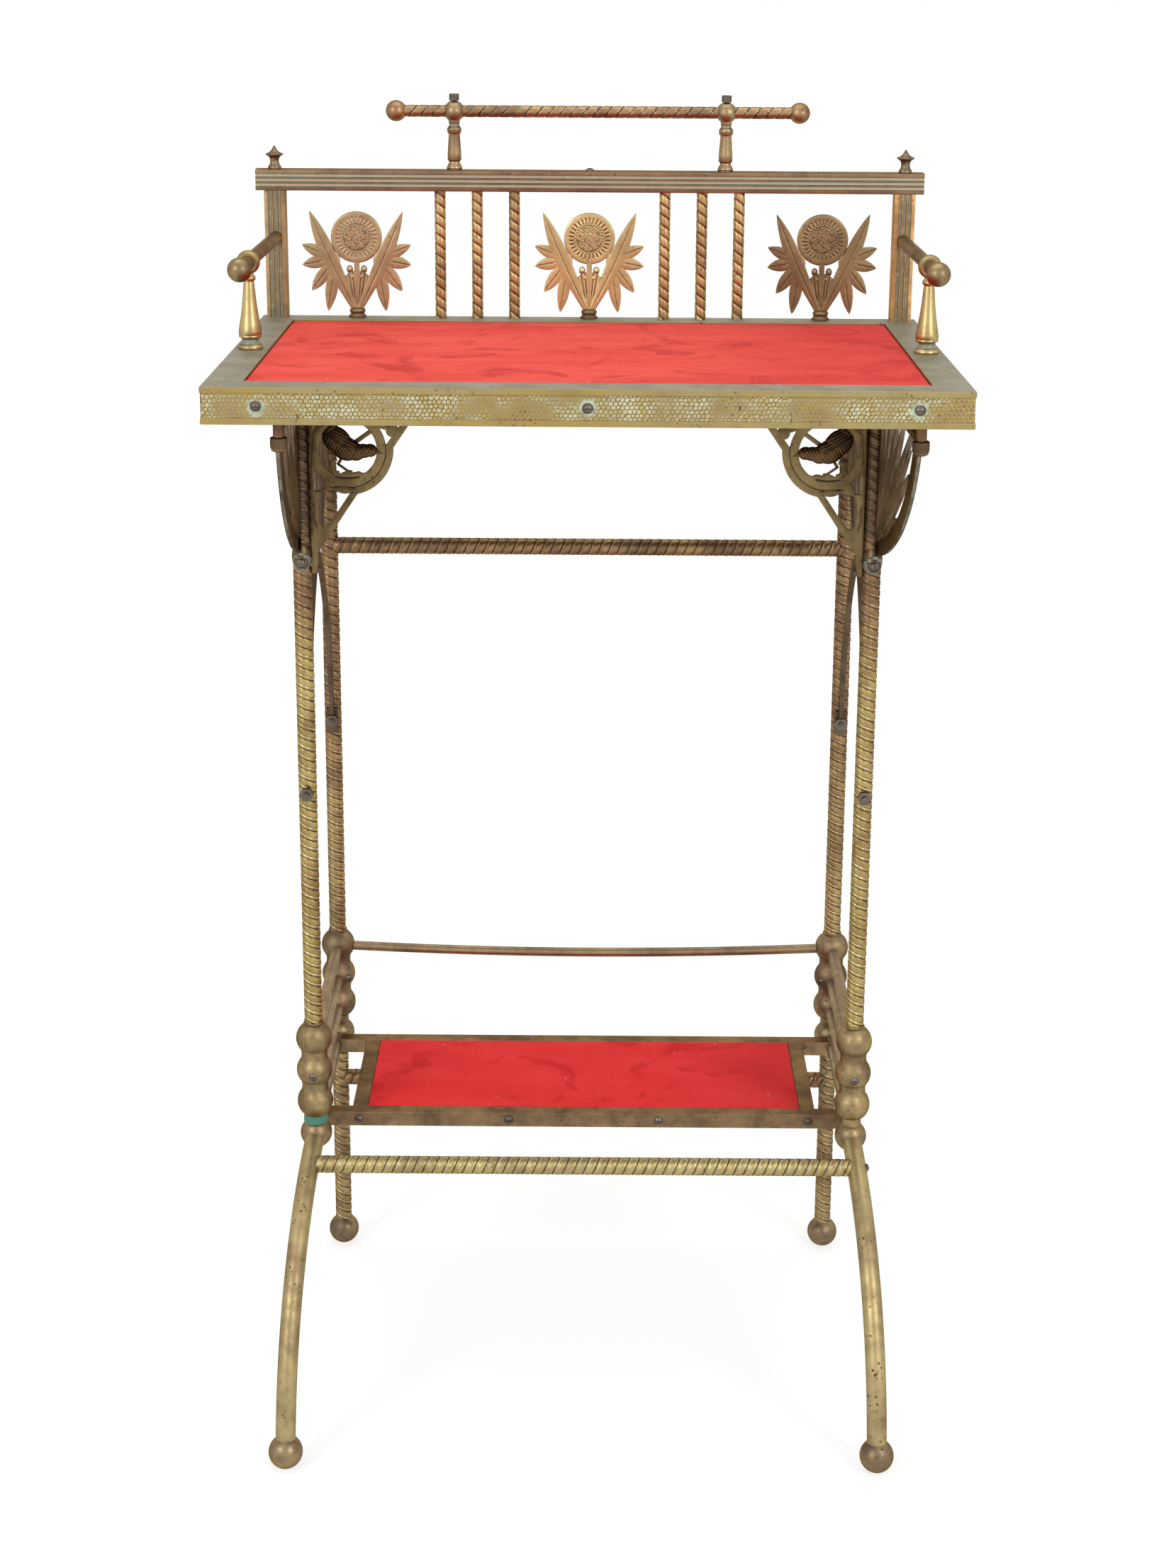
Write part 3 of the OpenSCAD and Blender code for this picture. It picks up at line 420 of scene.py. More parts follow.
post_copper = aged("post_copper", (0.72, 0.42, 0.165), (0.34, 0.20, 0.09), spots=(0.10, 0.065, 0.045),
                   green=(0.37, 0.355, 0.235), verdigris=0.95, cover=0.5, roughness=0.42)
shelf_bronze = aged("shelf_bronze", (0.33, 0.215, 0.11), (0.15, 0.10, 0.065), specks=0.9, verdigris=0.7)
flower_bronze = aged("flower_bronze", (0.53, 0.405, 0.22), (0.33, 0.23, 0.125), verdigris=0.9, cover=0.9,
                     spots=(0.12, 0.08, 0.05), green=(0.68, 0.66, 0.48), roughness=0.38,
                     edge=(0.74, 0.66, 0.45))
middle_bronze = aged("middle_bronze", (0.66, 0.55, 0.27), (0.44, 0.34, 0.165), verdigris=0.15,
                     spots=(0.14, 0.09, 0.05), roughness=0.36, edge=(0.86, 0.76, 0.50))
dark_flower = aged("dark_flower", (0.35, 0.25, 0.125), (0.20, 0.135, 0.068), verdigris=0.5, cover=0.3,
                   spots=(0.07, 0.045, 0.03), green=(0.50, 0.50, 0.36), roughness=0.38,
                   edge=(0.46, 0.38, 0.23))
ring_brass = aged("ring_brass", (0.235, 0.17, 0.075), (0.125, 0.084, 0.04), amount=0.45, roughness=0.4,
                  verdigris=0.1, spots=(0.03, 0.022, 0.016))
# on the bird the pale edge colour paints the highlight on each feather tip
bird_bronze = aged("bird_bronze", (0.155, 0.09, 0.04), (0.07, 0.04, 0.022), verdigris=0.1, amount=0.5,
                   spots=(0.022, 0.014, 0.01), edge=(0.46, 0.30, 0.11))
feather_bronze = aged("feather_bronze", (0.21, 0.14, 0.08), (0.095, 0.062, 0.037), verdigris=0.9, cover=0.75,
                       spots=(0.05, 0.037, 0.03), green=(0.56, 0.62, 0.46), roughness=0.4,
                       edge=(0.46, 0.41, 0.31))
panel_bronze = aged("panel_bronze", (0.19, 0.138, 0.088), (0.095, 0.066, 0.043), verdigris=0.5, amount=0.6,
                    spots=(0.045, 0.035, 0.03), roughness=0.42, edge=(0.47, 0.42, 0.33))
hanger_copper = aged("hanger_copper", (0.26, 0.13, 0.06), (0.10, 0.06, 0.042), amount=0.55)
dark_casting = aged("dark_casting", (0.22, 0.15, 0.10), (0.11, 0.072, 0.052), verdigris=0.5,
                    spots=(0.04, 0.03, 0.025), amount=0.6, roughness=0.42, edge=(0.50, 0.47, 0.38))
bright_turned = aged("bright_turned", (0.52, 0.395, 0.18), (0.28, 0.20, 0.10), green=(0.40, 0.47, 0.34),
                     amount=0.35, verdigris=0.8, cover=0.7)
finial_brass = aged("finial_brass", (0.27, 0.20, 0.12), (0.15, 0.11, 0.075), amount=0.55)
pillar_brass = aged("pillar_brass", (0.40, 0.29, 0.15), (0.22, 0.15, 0.09), amount=0.5,
                    green=(0.42, 0.47, 0.34), verdigris=0.7, cover=0.7)
rod_brass = aged("rod_brass", (0.47, 0.37, 0.245), (0.27, 0.20, 0.13), amount=0.45, roughness=0.42)
arm_brass = aged("arm_brass", (0.36, 0.265, 0.15), (0.19, 0.135, 0.085), amount=0.5)
dark_steel = aged("dark_steel", (0.20, 0.165, 0.135), (0.10, 0.08, 0.065), specks=0.6, verdigris=0.3,
                  roughness=0.38)
print("metals made")

# %% [markdown]
# ## The apron, the velvet and the board
# The apron is golden on its tool marks and dark between them, while the flat border above it has gone
# a dull grey-brown, because dust and polish have stayed there. Green has grown round the screws. The
# velvet is a red cloth whose pile catches light at its edges, with pale nap marks and a little lint.

# %% Apron, velvet and wood


def make_hammered():
    """Chased brass: the mask is -1 on plain bands, 0 on a tool mark and 1 in the lines between."""
    material, tree, shader = new_material("hammered_brass")
    age = tree.nodes.new("ShaderNodeGroup")
    age.node_tree = AGED_METAL
    for label, colour in (("Tarnish", (0.30, 0.225, 0.10)), ("Spots", (0.085, 0.055, 0.035)),
                          ("Green", (0.36, 0.43, 0.31))):
        age.inputs[label].default_value = (*colour, 1)
    age.inputs["Tarnish Amount"].default_value = 0.3
    age.inputs["Spot Amount"].default_value = 0.6
    age.inputs["Green Amount"].default_value = 0.25
    age.inputs["Roughness"].default_value = 0.34
    place = tree.nodes.new("ShaderNodeTexCoord").outputs["Object"]
    seam = seam_of(tree)
    warm = ramp(tree, noise_node(tree, place, 9, 3), 0.38, 0.62)
    golden = blend_colours(tree, warm, (0.41, 0.29, 0.09), (0.40, 0.315, 0.14))
    # on some stretches the marks are pale with dark lines, and on others dark with golden lines
    zone = ramp(tree, noise_node(tree, place, 13, 3, 0.6), 0.46, 0.66)
    single = ramp(tree, noise_node(tree, place, 210, 2), 0.4, 0.62)
    pale_mark = blend_colours(tree, single, (0.48, 0.385, 0.16), (0.60, 0.58, 0.38))
    dark_mark = blend_colours(tree, single, (0.33, 0.225, 0.09), (0.18, 0.11, 0.07))
    mark = blend_colours(tree, zone, pale_mark, dark_mark)
    line = blend_colours(tree, zone, (0.14, 0.095, 0.04), (0.50, 0.37, 0.115))
    chased = blend_colours(tree, ramp(tree, seam, 0.3, 0.8), mark, line)
    bright = blend_colours(tree, ramp(tree, seam, -0.6, -0.1), golden, chased)
    tree.links.new(bright, age.inputs["Bright"])
    # the dull top of the border
    geometry = tree.nodes.new("ShaderNodeNewGeometry")
    parts = tree.nodes.new("ShaderNodeSeparateXYZ")
    tree.links.new(geometry.outputs["Normal"], parts.inputs[0])
    upward = ramp(tree, parts.outputs["Z"], 0.85, 0.97)
    cloud = ramp(tree, noise_node(tree, place, 34, 5, 0.7), 0.36, 0.66)
    dust = blend_colours(tree, cloud, (0.27, 0.255, 0.185), (0.39, 0.38, 0.29))
    pores = tree.nodes.new("ShaderNodeTexVoronoi")
    pores.inputs["Scale"].default_value = 420
    tree.links.new(place, pores.inputs["Vector"])
    pits = ramp(tree, pores.outputs["Distance"], 0.1, 0.45, 0.0, 0.5)
    dust = blend_colours(tree, pits, dust, (0.19, 0.155, 0.10))
    scratch = tree.nodes.new("ShaderNodeMapping")
    scratch.inputs["Scale"].default_value = (14, 420, 420)
    tree.links.new(place, scratch.inputs["Vector"])
    streak = ramp(tree, noise_node(tree, scratch.outputs[0], 1.0, 2), 0.62, 0.72, 0.0, 0.5)
    dust = blend_colours(tree, streak, dust, (0.17, 0.14, 0.09))
    top_colour = blend_colours(tree, upward, age.outputs["Color"], dust)
    # dark nicks, longer than they are wide
    slant = tree.nodes.new("ShaderNodeMapping")
    slant.inputs["Scale"].default_value = (95, 95, 34)
    slant.inputs["Rotation"].default_value = (0, 0.35, 0)
    tree.links.new(place, slant.inputs["Vector"])
    nick = ramp(tree, noise_node(tree, slant.outputs[0], 1.0, 3, 0.6), 0.69, 0.715, 0.0, 0.9)
    top_colour = blend_colours(tree, nick, top_colour, (0.09, 0.06, 0.04))
    # green rings round the screws
    rings = None
    for screw in SCREW_PLACES:
        far = tree.nodes.new("ShaderNodeVectorMath")
        far.operation = "DISTANCE"
        tree.links.new(place, far.inputs[0])
        far.inputs[1].default_value = screw
        rings = far.outputs["Value"] if rings is None else calc(tree, "MINIMUM", rings, far.outputs["Value"])
    ragged = calc(tree, "ADD", rings, calc(tree, "MULTIPLY", noise_node(tree, place, 190, 4, 0.65), 0.013))
    crust = ramp(tree, ragged, 0.0152, 0.0128)
    crust_tone = blend_colours(tree, single, (0.34, 0.40, 0.29), (0.52, 0.58, 0.44))
    colour = blend_colours(tree, crust, top_colour, crust_tone)
    tree.links.new(colour, shader.inputs["Base Color"])
    bare = calc(tree, "SUBTRACT", 1.0, calc(tree, "MAXIMUM", crust, calc(tree, "MULTIPLY", upward, 0.75)))
    tree.links.new(calc(tree, "MULTIPLY", age.outputs["Metallic"], bare), shader.inputs["Metallic"])
    rough = calc(tree, "ADD", age.outputs["Roughness"], calc(tree, "MULTIPLY", upward, 0.16))
    tree.links.new(calc(tree, "ADD", rough, calc(tree, "MULTIPLY", crust, 0.3), True),
                   shader.inputs["Roughness"])
    shader.inputs["Specular Tint"].default_value = EDGE_TINT
    bump(tree, shader, age.outputs["Height"], 0.00018)
    return material


def make_velvet():
    material, tree, shader = new_material("red_velvet")
    place = tree.nodes.new("ShaderNodeTexCoord").outputs["Object"]
    long_way = tree.nodes.new("ShaderNodeMapping")
    long_way.inputs["Scale"].default_value = (10, 30, 30)
    long_way.inputs["Rotation"].default_value = (0, 0, 0.12)
    tree.links.new(place, long_way.inputs["Vector"])
    nap = ramp(tree, noise_node(tree, long_way.outputs[0], 1.0, 4, 0.55), 0.3, 0.7)
    smudge = tree.nodes.new("ShaderNodeTexNoise")
    for label, value in (("Scale", 15), ("Detail", 5), ("Roughness", 0.62), ("Distortion", 1.4)):
        smudge.inputs[label].default_value = value
    tree.links.new(place, smudge.inputs["Vector"])
    brushed = ramp(tree, smudge.outputs["Fac"], 0.52, 0.66, 0.0, 0.7)
    pile = noise_node(tree, place, 1500, 2, 0.6)
    # painted light and shade: the raised table panel is given a paler red, as if lit from above, and the shelf panel
    # a deeper red, as if in shade
    painted_top_light = height_ramp(tree, 0.4, 0.8)
    deep = blend_colours(tree, nap, (0.94, 0.038, 0.040), (1.0, 0.056, 0.055))
    pale = blend_colours(tree, nap, (0.76, 0.064, 0.050), (0.88, 0.105, 0.080))
    colour = blend_colours(tree, painted_top_light, deep, pale)
    shade = blend_colours(tree, painted_top_light, (0.70, 0.016, 0.02), (0.50, 0.026, 0.026))
    colour = blend_colours(tree, brushed, colour, shade)
    # the velvet is darker towards the right
    parts = tree.nodes.new("ShaderNodeSeparateXYZ")
    tree.links.new(place, parts.inputs[0])
    colour = blend_colours(tree, ramp(tree, parts.outputs["X"], 0.04, 0.24, 0.0, 0.5), colour,
                           (0.58, 0.026, 0.028))
    fibre = ramp(tree, pile, 0.3, 0.7, 0.0, 0.28)
    colour = blend_colours(tree, fibre, colour, (0.42, 0.012, 0.016))
    lint = tree.nodes.new("ShaderNodeTexVoronoi")
    lint.inputs["Scale"].default_value = 42
    tree.links.new(place, lint.inputs["Vector"])
    fluff = ramp(tree, lint.outputs["Distance"], 0.05, 0.02, 0.0, 0.7)
    colour = blend_colours(tree, fluff, colour, (0.95, 0.62, 0.52))
    tree.links.new(colour, shader.inputs["Base Color"])
    shader.inputs["Roughness"].default_value = 0.95
    shader.inputs["Sheen Weight"].default_value = 0.16
    shader.inputs["Sheen Roughness"].default_value = 0.4
    shader.inputs["Sheen Tint"].default_value = (1.0, 0.30, 0.24, 1)
    shader.inputs["Specular IOR Level"].default_value = 0.1
    height = calc(tree, "ADD", calc(tree, "MULTIPLY", pile, 0.7), calc(tree, "MULTIPLY", nap, 0.5))
    bump(tree, shader, height, 0.0005, 0.7)
    return material


def make_wood():
    material, tree, shader = new_material("board_wood")
    place = tree.nodes.new("ShaderNodeTexCoord").outputs["Object"]
    along = tree.nodes.new("ShaderNodeMapping")
    along.inputs["Scale"].default_value = (3, 42, 42)
    tree.links.new(place, along.inputs["Vector"])
    rings = noise_node(tree, along.outputs[0], 1.0, 5, 0.6)
    pores = tree.nodes.new("ShaderNodeMapping")
    pores.inputs["Scale"].default_value = (30, 700, 700)
    tree.links.new(place, pores.inputs["Vector"])
    fine = noise_node(tree, pores.outputs[0], 1.0, 2)
    grain = ramp(tree, rings, 0.35, 0.65)
    colour = blend_colours(tree, grain, (0.22, 0.12, 0.06), (0.36, 0.22, 0.12))
    colour = blend_colours(tree, ramp(tree, fine, 0.56, 0.7, 0.0, 0.6), colour, (0.10, 0.055, 0.03))
    tree.links.new(colour, shader.inputs["Base Color"])
    tree.links.new(ramp(tree, fine, 0.3, 0.7, 0.5, 0.72), shader.inputs["Roughness"])
    bump(tree, shader, fine, 0.0003)
    return material


def screw_middles():
    """The middles of the apron screws' heads: three in front and two at each end."""
    low, high = (Vector(corner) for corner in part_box("apron_screws"))
    up = (low.z + high.z) / 2
    table_low, table_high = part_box("top_frame_front")[0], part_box("top_frame_back")[1]
    half_w, centre, quarter = table_high[0], (table_low[1] + table_high[1]) / 2, \
        (table_high[1] - table_low[1]) / 4
    front = [(step * APRON_SCREW_GAP, low.y, up) for step in (-1, 0, 1)]
    ends = [(side * half_w, centre + step * quarter, up) for side in (-1, 1) for step in (-1, 1)]
    return front + ends


APRON_SCREW_GAP = 0.261
SCREW_PLACES = screw_middles()
hammered_brass = make_hammered()
red_velvet = make_velvet()
board_wood = make_wood()
print("apron screws:", len(SCREW_PLACES))

# %% [markdown]
# ## Working helpers
# Each piece starts from one of Blender's primitives, is shaped in edit mode, and ends with its place
# inside its mesh, so that its object sits at the origin. These helpers do the steps that every piece
# shares: selecting, applying, joining, and telling the frame which solids a piece stands for.

# %% Helpers
pieces_made = []


def only(piece):
    """Makes piece the only selected and the active object."""
    bpy.ops.object.select_all(action="DESELECT")
    piece.select_set(True)
    bpy.context.view_layer.objects.active = piece


def settle(piece):
    """Puts the piece's place into its mesh."""
    only(piece)
    bpy.ops.object.transform_apply(location=True, rotation=True, scale=True)
    return piece


def tidy_mesh(piece, angle=40):
    """Merges doubles, points the faces outwards and shades them smooth up to an angle."""
    only(piece)
    bpy.ops.object.mode_set(mode="EDIT")
    bpy.ops.mesh.select_all(action="SELECT")
    bpy.ops.mesh.remove_doubles(threshold=0.00001)
    bpy.ops.mesh.normals_make_consistent(inside=False)
    bpy.ops.object.mode_set(mode="OBJECT")
    bpy.ops.object.shade_smooth_by_angle(angle=math.radians(angle))
    return piece


def join(parts):
    only(parts[0])
    for part in parts[1:]:
        part.select_set(True)
    if len(parts) > 1:
        bpy.ops.object.join()
    return bpy.context.view_layer.objects.active


def copy_of(piece, turn=0.0, move=(0, 0, 0), mirror=None):
    """A copy with its own mesh, turned about Z, mirrored along an axis, and moved."""
    only(piece)
    bpy.ops.object.duplicate(linked=False)
    twin = bpy.context.view_layer.objects.active
    if mirror is not None:
        twin.scale[mirror] = -1
        settle(twin)
        bpy.ops.object.mode_set(mode="EDIT")
        bpy.ops.mesh.select_all(action="SELECT")
        bpy.ops.mesh.normals_make_consistent(inside=False)
        bpy.ops.object.mode_set(mode="OBJECT")
    twin.rotation_euler = (0, 0, turn)
    twin.location = move
    return settle(twin)


def finish_piece(piece, name, material, stands_for, body="stand"):
    """Names the piece, gives it its finish, and hides the solids that it stands for."""
    settle(piece)
    piece.name = name
    piece.data.name = name
    if material is not None:
        piece.data.materials.clear()
        piece.data.materials.append(material)
    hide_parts(*stands_for)
    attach(piece, body)
    pieces_made.append(name)
    return piece


def middle(node):
    low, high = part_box(node)
    return (Vector(low) + Vector(high)) / 2


def size(node):
    low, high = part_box(node)
    return Vector(high) - Vector(low)


def set_seam(piece, value_at):
    """Writes the groove mask: value_at takes a vertex's place and returns 0 to 1."""
    layer = piece.data.attributes.get("seam") or piece.data.attributes.new("seam", "FLOAT", "POINT")
    layer.data.foreach_set("value", [value_at(vertex.co) for vertex in piece.data.vertices])


def select_faces(piece, wanted):
    """Selects the faces for which wanted(centre, normal) is true, and goes into edit mode."""
    only(piece)
    bpy.ops.object.mode_set(mode="EDIT")
    bpy.ops.mesh.select_mode(type="FACE")
    bpy.ops.mesh.select_all(action="DESELECT")
    bpy.ops.object.mode_set(mode="OBJECT")
    for face in piece.data.polygons:
        face.select = wanted(face.center, face.normal)
    bpy.ops.object.mode_set(mode="EDIT")


def leave_faces(piece):
    """Goes back to vertex selection and out of edit mode."""
    bpy.ops.mesh.select_mode(type="VERT")
    bpy.ops.object.mode_set(mode="OBJECT")


print("helpers ready")

# %% [markdown]
# ## Twisted tubes
# The legs, stretchers, spindles and top bar are brass tube with a fine double bead rolled round them
# like a rope. The section is a circle whose outline dips twice beside each bead. A Screw modifier
# sweeps it along the axis while turning it to the left, which gives the real groove and not a bump.

# %% One twisted tube
# the masks here are partly painted shade: they darken the groove below each bead with dirt and painted shadow, add
# painted shade on the bead's flanks, and mark a pale line in the groove above it
SECTION_PAINTED_SHADE = ((0, 0.0, -0.15), (20, 0.03, 0.0), (34, 0.12, 0.12), (46, 0.28, 0.2), (54, 0.55, 0.4), (60, 0.9, 1.0),
           (68, 1.0, 1.0), (75, 0.6, 0.7), (81, 0.2, 0.1), (90, 0.08, 0.0), (99, 0.2, 0.0), (105, 0.6, -0.6),
           (112, 1.0, -1.0), (120, 0.9, -0.8), (126, 0.55, 0.3), (134, 0.28, 0.2), (146, 0.12, 0.0),
           (160, 0.03, -0.15))
ROPE = ((0, 0.0, 0.0), (28, 0.03, 0.0), (50, 0.12, 0.0), (62, 0.25, -0.2), (70, 0.42, -0.3), (77, 0.7, 0.7),
        (83, 1.0, 1.0), (90, 1.0, 1.0), (97, 1.0, 1.0), (103, 0.7, 0.7), (110, 0.42, 0.0), (118, 0.25, 0.0),
        (132, 0.12, 0.0), (152, 0.03, 0.0))
RINGS_PER_TURN = 24


def twisted_tube(radius, length, lead, depth=0.8 * MM, turn=0.0, section=SECTION_PAINTED_SHADE):
    """A left-handed twisted tube that stands on the origin, along Z.

    Each row of the section is an angle, how far the outline dips there, and the mask there, which marks the grooves
    and also paints shade beside the beads.
    """
    count = 2 * len(section)
    bpy.ops.mesh.primitive_circle_add(vertices=count, radius=radius, fill_type="NOTHING")
    tube = bpy.context.object
    masks = []
    for index, vertex in enumerate(tube.data.vertices):
        degrees, dip, mask = section[index % len(section)]
        angle = math.radians(degrees + 180 * (index // len(section))) + turn
        here = radius - dip * depth
        vertex.co = (here * math.cos(angle), here * math.sin(angle), 0)
        masks.append(mask)
    tube.data.attributes.new("seam", "FLOAT", "POINT").data.foreach_set("value", masks)
    turns = length / lead
    screw = tube.modifiers.new("twist", "SCREW")
    screw.angle = -2 * math.pi * turns
    screw.screw_offset = length
    screw.steps = screw.render_steps = round(turns * RINGS_PER_TURN)
    only(tube)
    bpy.ops.object.modifier_apply(modifier="twist")
    bpy.ops.object.mode_set(mode="EDIT")
    bpy.ops.mesh.select_all(action="DESELECT")
    bpy.ops.mesh.select_non_manifold()
    bpy.ops.mesh.fill_holes(sides=0)
    bpy.ops.mesh.select_all(action="SELECT")
    bpy.ops.mesh.normals_make_consistent(inside=False)
    bpy.ops.object.mode_set(mode="OBJECT")
    bpy.ops.object.shade_smooth_by_angle(angle=math.radians(60))
    return tube


def lay_along_x(tube, place):
    tube.rotation_euler = (0, math.pi / 2, 0)
    tube.location = place
    return settle(tube)


def stand_at(tube, place):
    tube.location = place
    return settle(tube)


# %% The four legs
LEG_LEAD = 18.6 * MM
LEG_FINISH = {"front_leg_left": golden_twist, "front_leg_right": golden_twist,
              "rear_leg_left": copper_twist, "rear_leg_right": copper_twist}

for number, (node, finish) in enumerate(LEG_FINISH.items()):
    low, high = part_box(node)
    width = high[0] - low[0]
    leg = twisted_tube(width / 2, high[2] - low[2], LEG_LEAD, turn=0.9 * number)
    stand_at(leg, (middle(node).x, middle(node).y, low[2]))
    finish_piece(leg, node + "_twisted", finish, [node])
print("legs:", len(LEG_FINISH), "vertices in one:", len(leg.data.vertices))

# %% Stretchers
STRETCHER_LEAD = 18.2 * MM
for node, finish in (("stretcher_rear_upper", upper_twist), ("stretcher_rear_lower", upper_twist),
                     ("stretcher_front", low_twist)):
    low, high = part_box(node)
    width = high[2] - low[2]
    overlap = 2 * MM
    bar = twisted_tube(width / 2, high[0] - low[0] - 2 * overlap, STRETCHER_LEAD)
    lay_along_x(bar, (low[0] + overlap, middle(node).y, middle(node).z))
    finish_piece(bar, node + "_twisted", finish, [node])
print("stretchers: 3")

# %% Spindles and the sliding bar
SPINDLE_LEAD = 19 * MM
for side in ("left", "right"):
    node = "spindles_" + side
    low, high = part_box(node)
    width = high[1] - low[1]
    group = []
    for step in range(3):
        across = low[0] + width / 2 + step * (high[0] - low[0] - width) / 2
        spindle = twisted_tube(width / 2, high[2] - low[2], SPINDLE_LEAD, depth=0.65 * MM, turn=0.7 * step,
                               section=ROPE)
        group.append(stand_at(spindle, (across, middle(node).y, low[2])))
    finish_piece(join(group), node + "_twisted", spindle_brass, [node])

low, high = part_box("top_bar")
BAR_LEAD = 21 * MM
bar = twisted_tube((high[2] - low[2]) / 2, high[0] - low[0], BAR_LEAD, depth=0.6 * MM, section=ROPE)
lay_along_x(bar, (low[0], middle("top_bar").y, middle("top_bar").z))
finish_piece(bar, "top_bar_twisted", bar_bronze, ["top_bar"], body="sliding_bar")
print("spindles: 6, sliding bar length in mm:", round((high[0] - low[0]) / MM))

# %% [markdown]
# ## Turned pieces
# The ball stacks, finials, pillars, balusters and sockets were turned on a lathe. Each one is a
# profile drawn from the axis outwards and spun round it. The profile is a chain of edges, extruded
# point by point from one vertex, with arcs where the lathe tool cut a ball or a hollow.

# %% Profiles


def arc(centre, radius, start, end, steps):
    """Points (out, up) on an arc round (0 or out, up), with angles in degrees from straight out."""
    angles = [math.radians(start + (end - start) * i / steps) for i in range(steps + 1)]
    return [(centre[0] + radius * math.cos(a), centre[1] + radius * math.sin(a)) for a in angles]


def turned(profile, place, steps=48, angle=40):
    """Spins a profile of (out, up) points, in millimetres, round an upright axis through place."""
    bpy.ops.mesh.primitive_plane_add(size=1 * MM, location=(0, 0, 0))
    piece = bpy.context.object
    bpy.ops.object.mode_set(mode="EDIT")
    bpy.ops.mesh.select_all(action="SELECT")
    bpy.ops.mesh.merge(type="CENTER")
    last = Vector((0, 0, 0))
    points = [Vector((out * MM, 0, up * MM)) for out, up in profile]
    bpy.ops.transform.translate(value=points[0] - last)
    for before, after in zip(points, points[1:]):
        bpy.ops.mesh.extrude_region_move(TRANSFORM_OT_translate={"value": after - before})
    bpy.ops.mesh.select_all(action="SELECT")
    bpy.ops.mesh.spin(steps=steps, angle=2 * math.pi, center=(0, 0, 0), axis=(0, 0, 1),
                      use_auto_merge=True)
    bpy.ops.object.mode_set(mode="OBJECT")
    tidy_mesh(piece, angle)
    piece.location = place
    return settle(piece)


def ball_profile(radius, up=0.0, steps=20):
    return [(max(out, 0.0), z) for out, z in arc((0, up), radius, -90, 90, steps)]


# %% Ball stacks
BALL_R = 16.3
WAIST_R = 12.0


def stack_profile(first, pitch, neck_r):
    """Three balls with soft hollows between them, and a neck that reaches the knee ball."""
    points = [(0, first - 21), (neck_r, first - 21), (neck_r + 0.4, first - 19), (neck_r, first - 13.2)]
    for ball in range(3):
        centre = first + ball * pitch
        low = -40 if ball else -48
        points += arc((0, centre), BALL_R, low, 40, 14)
        if ball < 2:
            half = centre + pitch / 2
            points += [(WAIST_R + 0.1, half - 3.6), (WAIST_R - 0.2, half - 2.0), (WAIST_R - 0.3, half),
                       (WAIST_R - 0.2, half + 2.0), (WAIST_R + 0.1, half + 3.6)]
    points += arc((0, first + 2 * pitch), BALL_R, 50, 62, 3)
    top = first + 2 * pitch + BALL_R
    points += [(8.9, top - 1.6), (9.1, top - 0.6), (8.6, top), (0, top)]
    return points


STACK_PITCH = 31.0
for node in ("front_stack_left", "front_stack_right", "rear_stack_left", "rear_stack_right"):
    low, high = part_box(node)
    first = low[2] / MM + BALL_R
    neck = 10.6 if node == "front_stack_left" else 8.6
    centre = middle(node)
    stack = turned(stack_profile(first, STACK_PITCH, neck), (centre.x, centre.y, 0), steps=56)
    neck_top = (first - 12.4) * MM
    if node == "front_stack_left":
        set_seam(stack, lambda co: 1.0 if co.z < neck_top else 0.0)
    else:
        set_seam(stack, lambda co: 0.0)
    finish = stack_brass if node.startswith("front") else rear_brass
    finish_piece(stack, node + "_turned", finish, [node])
print("stacks: 4, lowest ball centre in mm:", round(first))

# %% Single balls


def balls_at(node, radius, places, name, material, body="stand", steps=32):
    """Plain turned balls that share one node."""
    shape = ball_profile(radius)
    group = []
    for count, place in enumerate(places):
        if count == 0:
            group.append(turned(shape, place, steps=steps))
        else:
            group.append(copy_of(group[0], move=Vector(place) - Vector(places[0])))
    finish_piece(join(group), name, material, [node], body=body)


def corner_places(node, radius):
    low, high = (Vector(corner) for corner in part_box(node))
    return low + Vector((radius, radius, radius)) * MM, high - Vector((radius, radius, radius)) * MM


KNEE_R = 14.5
low, high = corner_places("knee_balls", KNEE_R)
balls_at("knee_balls", KNEE_R, [(x, y, low.z) for x in (low.x, high.x) for y in (low.y, high.y)],
         "knee_balls_turned", ball_brass)

FOOT_R = 15.0
low, high = corner_places("foot_balls", FOOT_R)
leg_x = middle("rear_leg_right").x
feet = [(x, low.y, low.z) for x in (low.x, high.x)] + [(x, high.y, low.z) for x in (-leg_x, leg_x)]
balls_at("foot_balls", FOOT_R, feet, "foot_balls_turned", foot_brass)

ARM_BALL_R = 10.25
low, high = corner_places("arm_balls", ARM_BALL_R)
balls_at("arm_balls", ARM_BALL_R, [(x, low.y, low.z) for x in (low.x, high.x)], "arm_balls_turned",
         ball_brass)

BAR_BALL_R = 9.5
low, high = corner_places("top_bar_balls", BAR_BALL_R)
balls_at("top_bar_balls", BAR_BALL_R, [(x, low.y, low.z) for x in (low.x, high.x)],
         "top_bar_balls_turned", bar_bronze, body="sliding_bar")
print("single balls: 4 knees, 4 feet, 2 arms, 2 on the bar")

# %% Finials, sockets, pillars and balusters
FINIAL = [(0, 0), (6.0, 0), (6.1, 0.6), (6.0, 2.2), (5.4, 2.9), (4.6, 4.0), (4.2, 5.4), (4.0, 7.0),
          (4.2, 8.8), (4.8, 10.4), (5.4, 11.0), (6.6, 11.9), (8.1, 12.9), (8.25, 13.3), (7.9, 13.8),
          (6.2, 14.4), (4.6, 15.2), (3.2, 16.4), (2.0, 18.2), (1.0, 20.2), (0.4, 21), (0, 21)]
SOCKET = [(0, 0), (7.8, 0), (8.1, 0.5), (8.0, 1.8), (7.0, 2.6), (6.4, 3.6), (6.7, 4.6), (7.4, 5.6),
          (7.4, 6.6), (6.6, 7.8), (5.6, 8.8), (4.4, 9.2), (0, 9.2)]


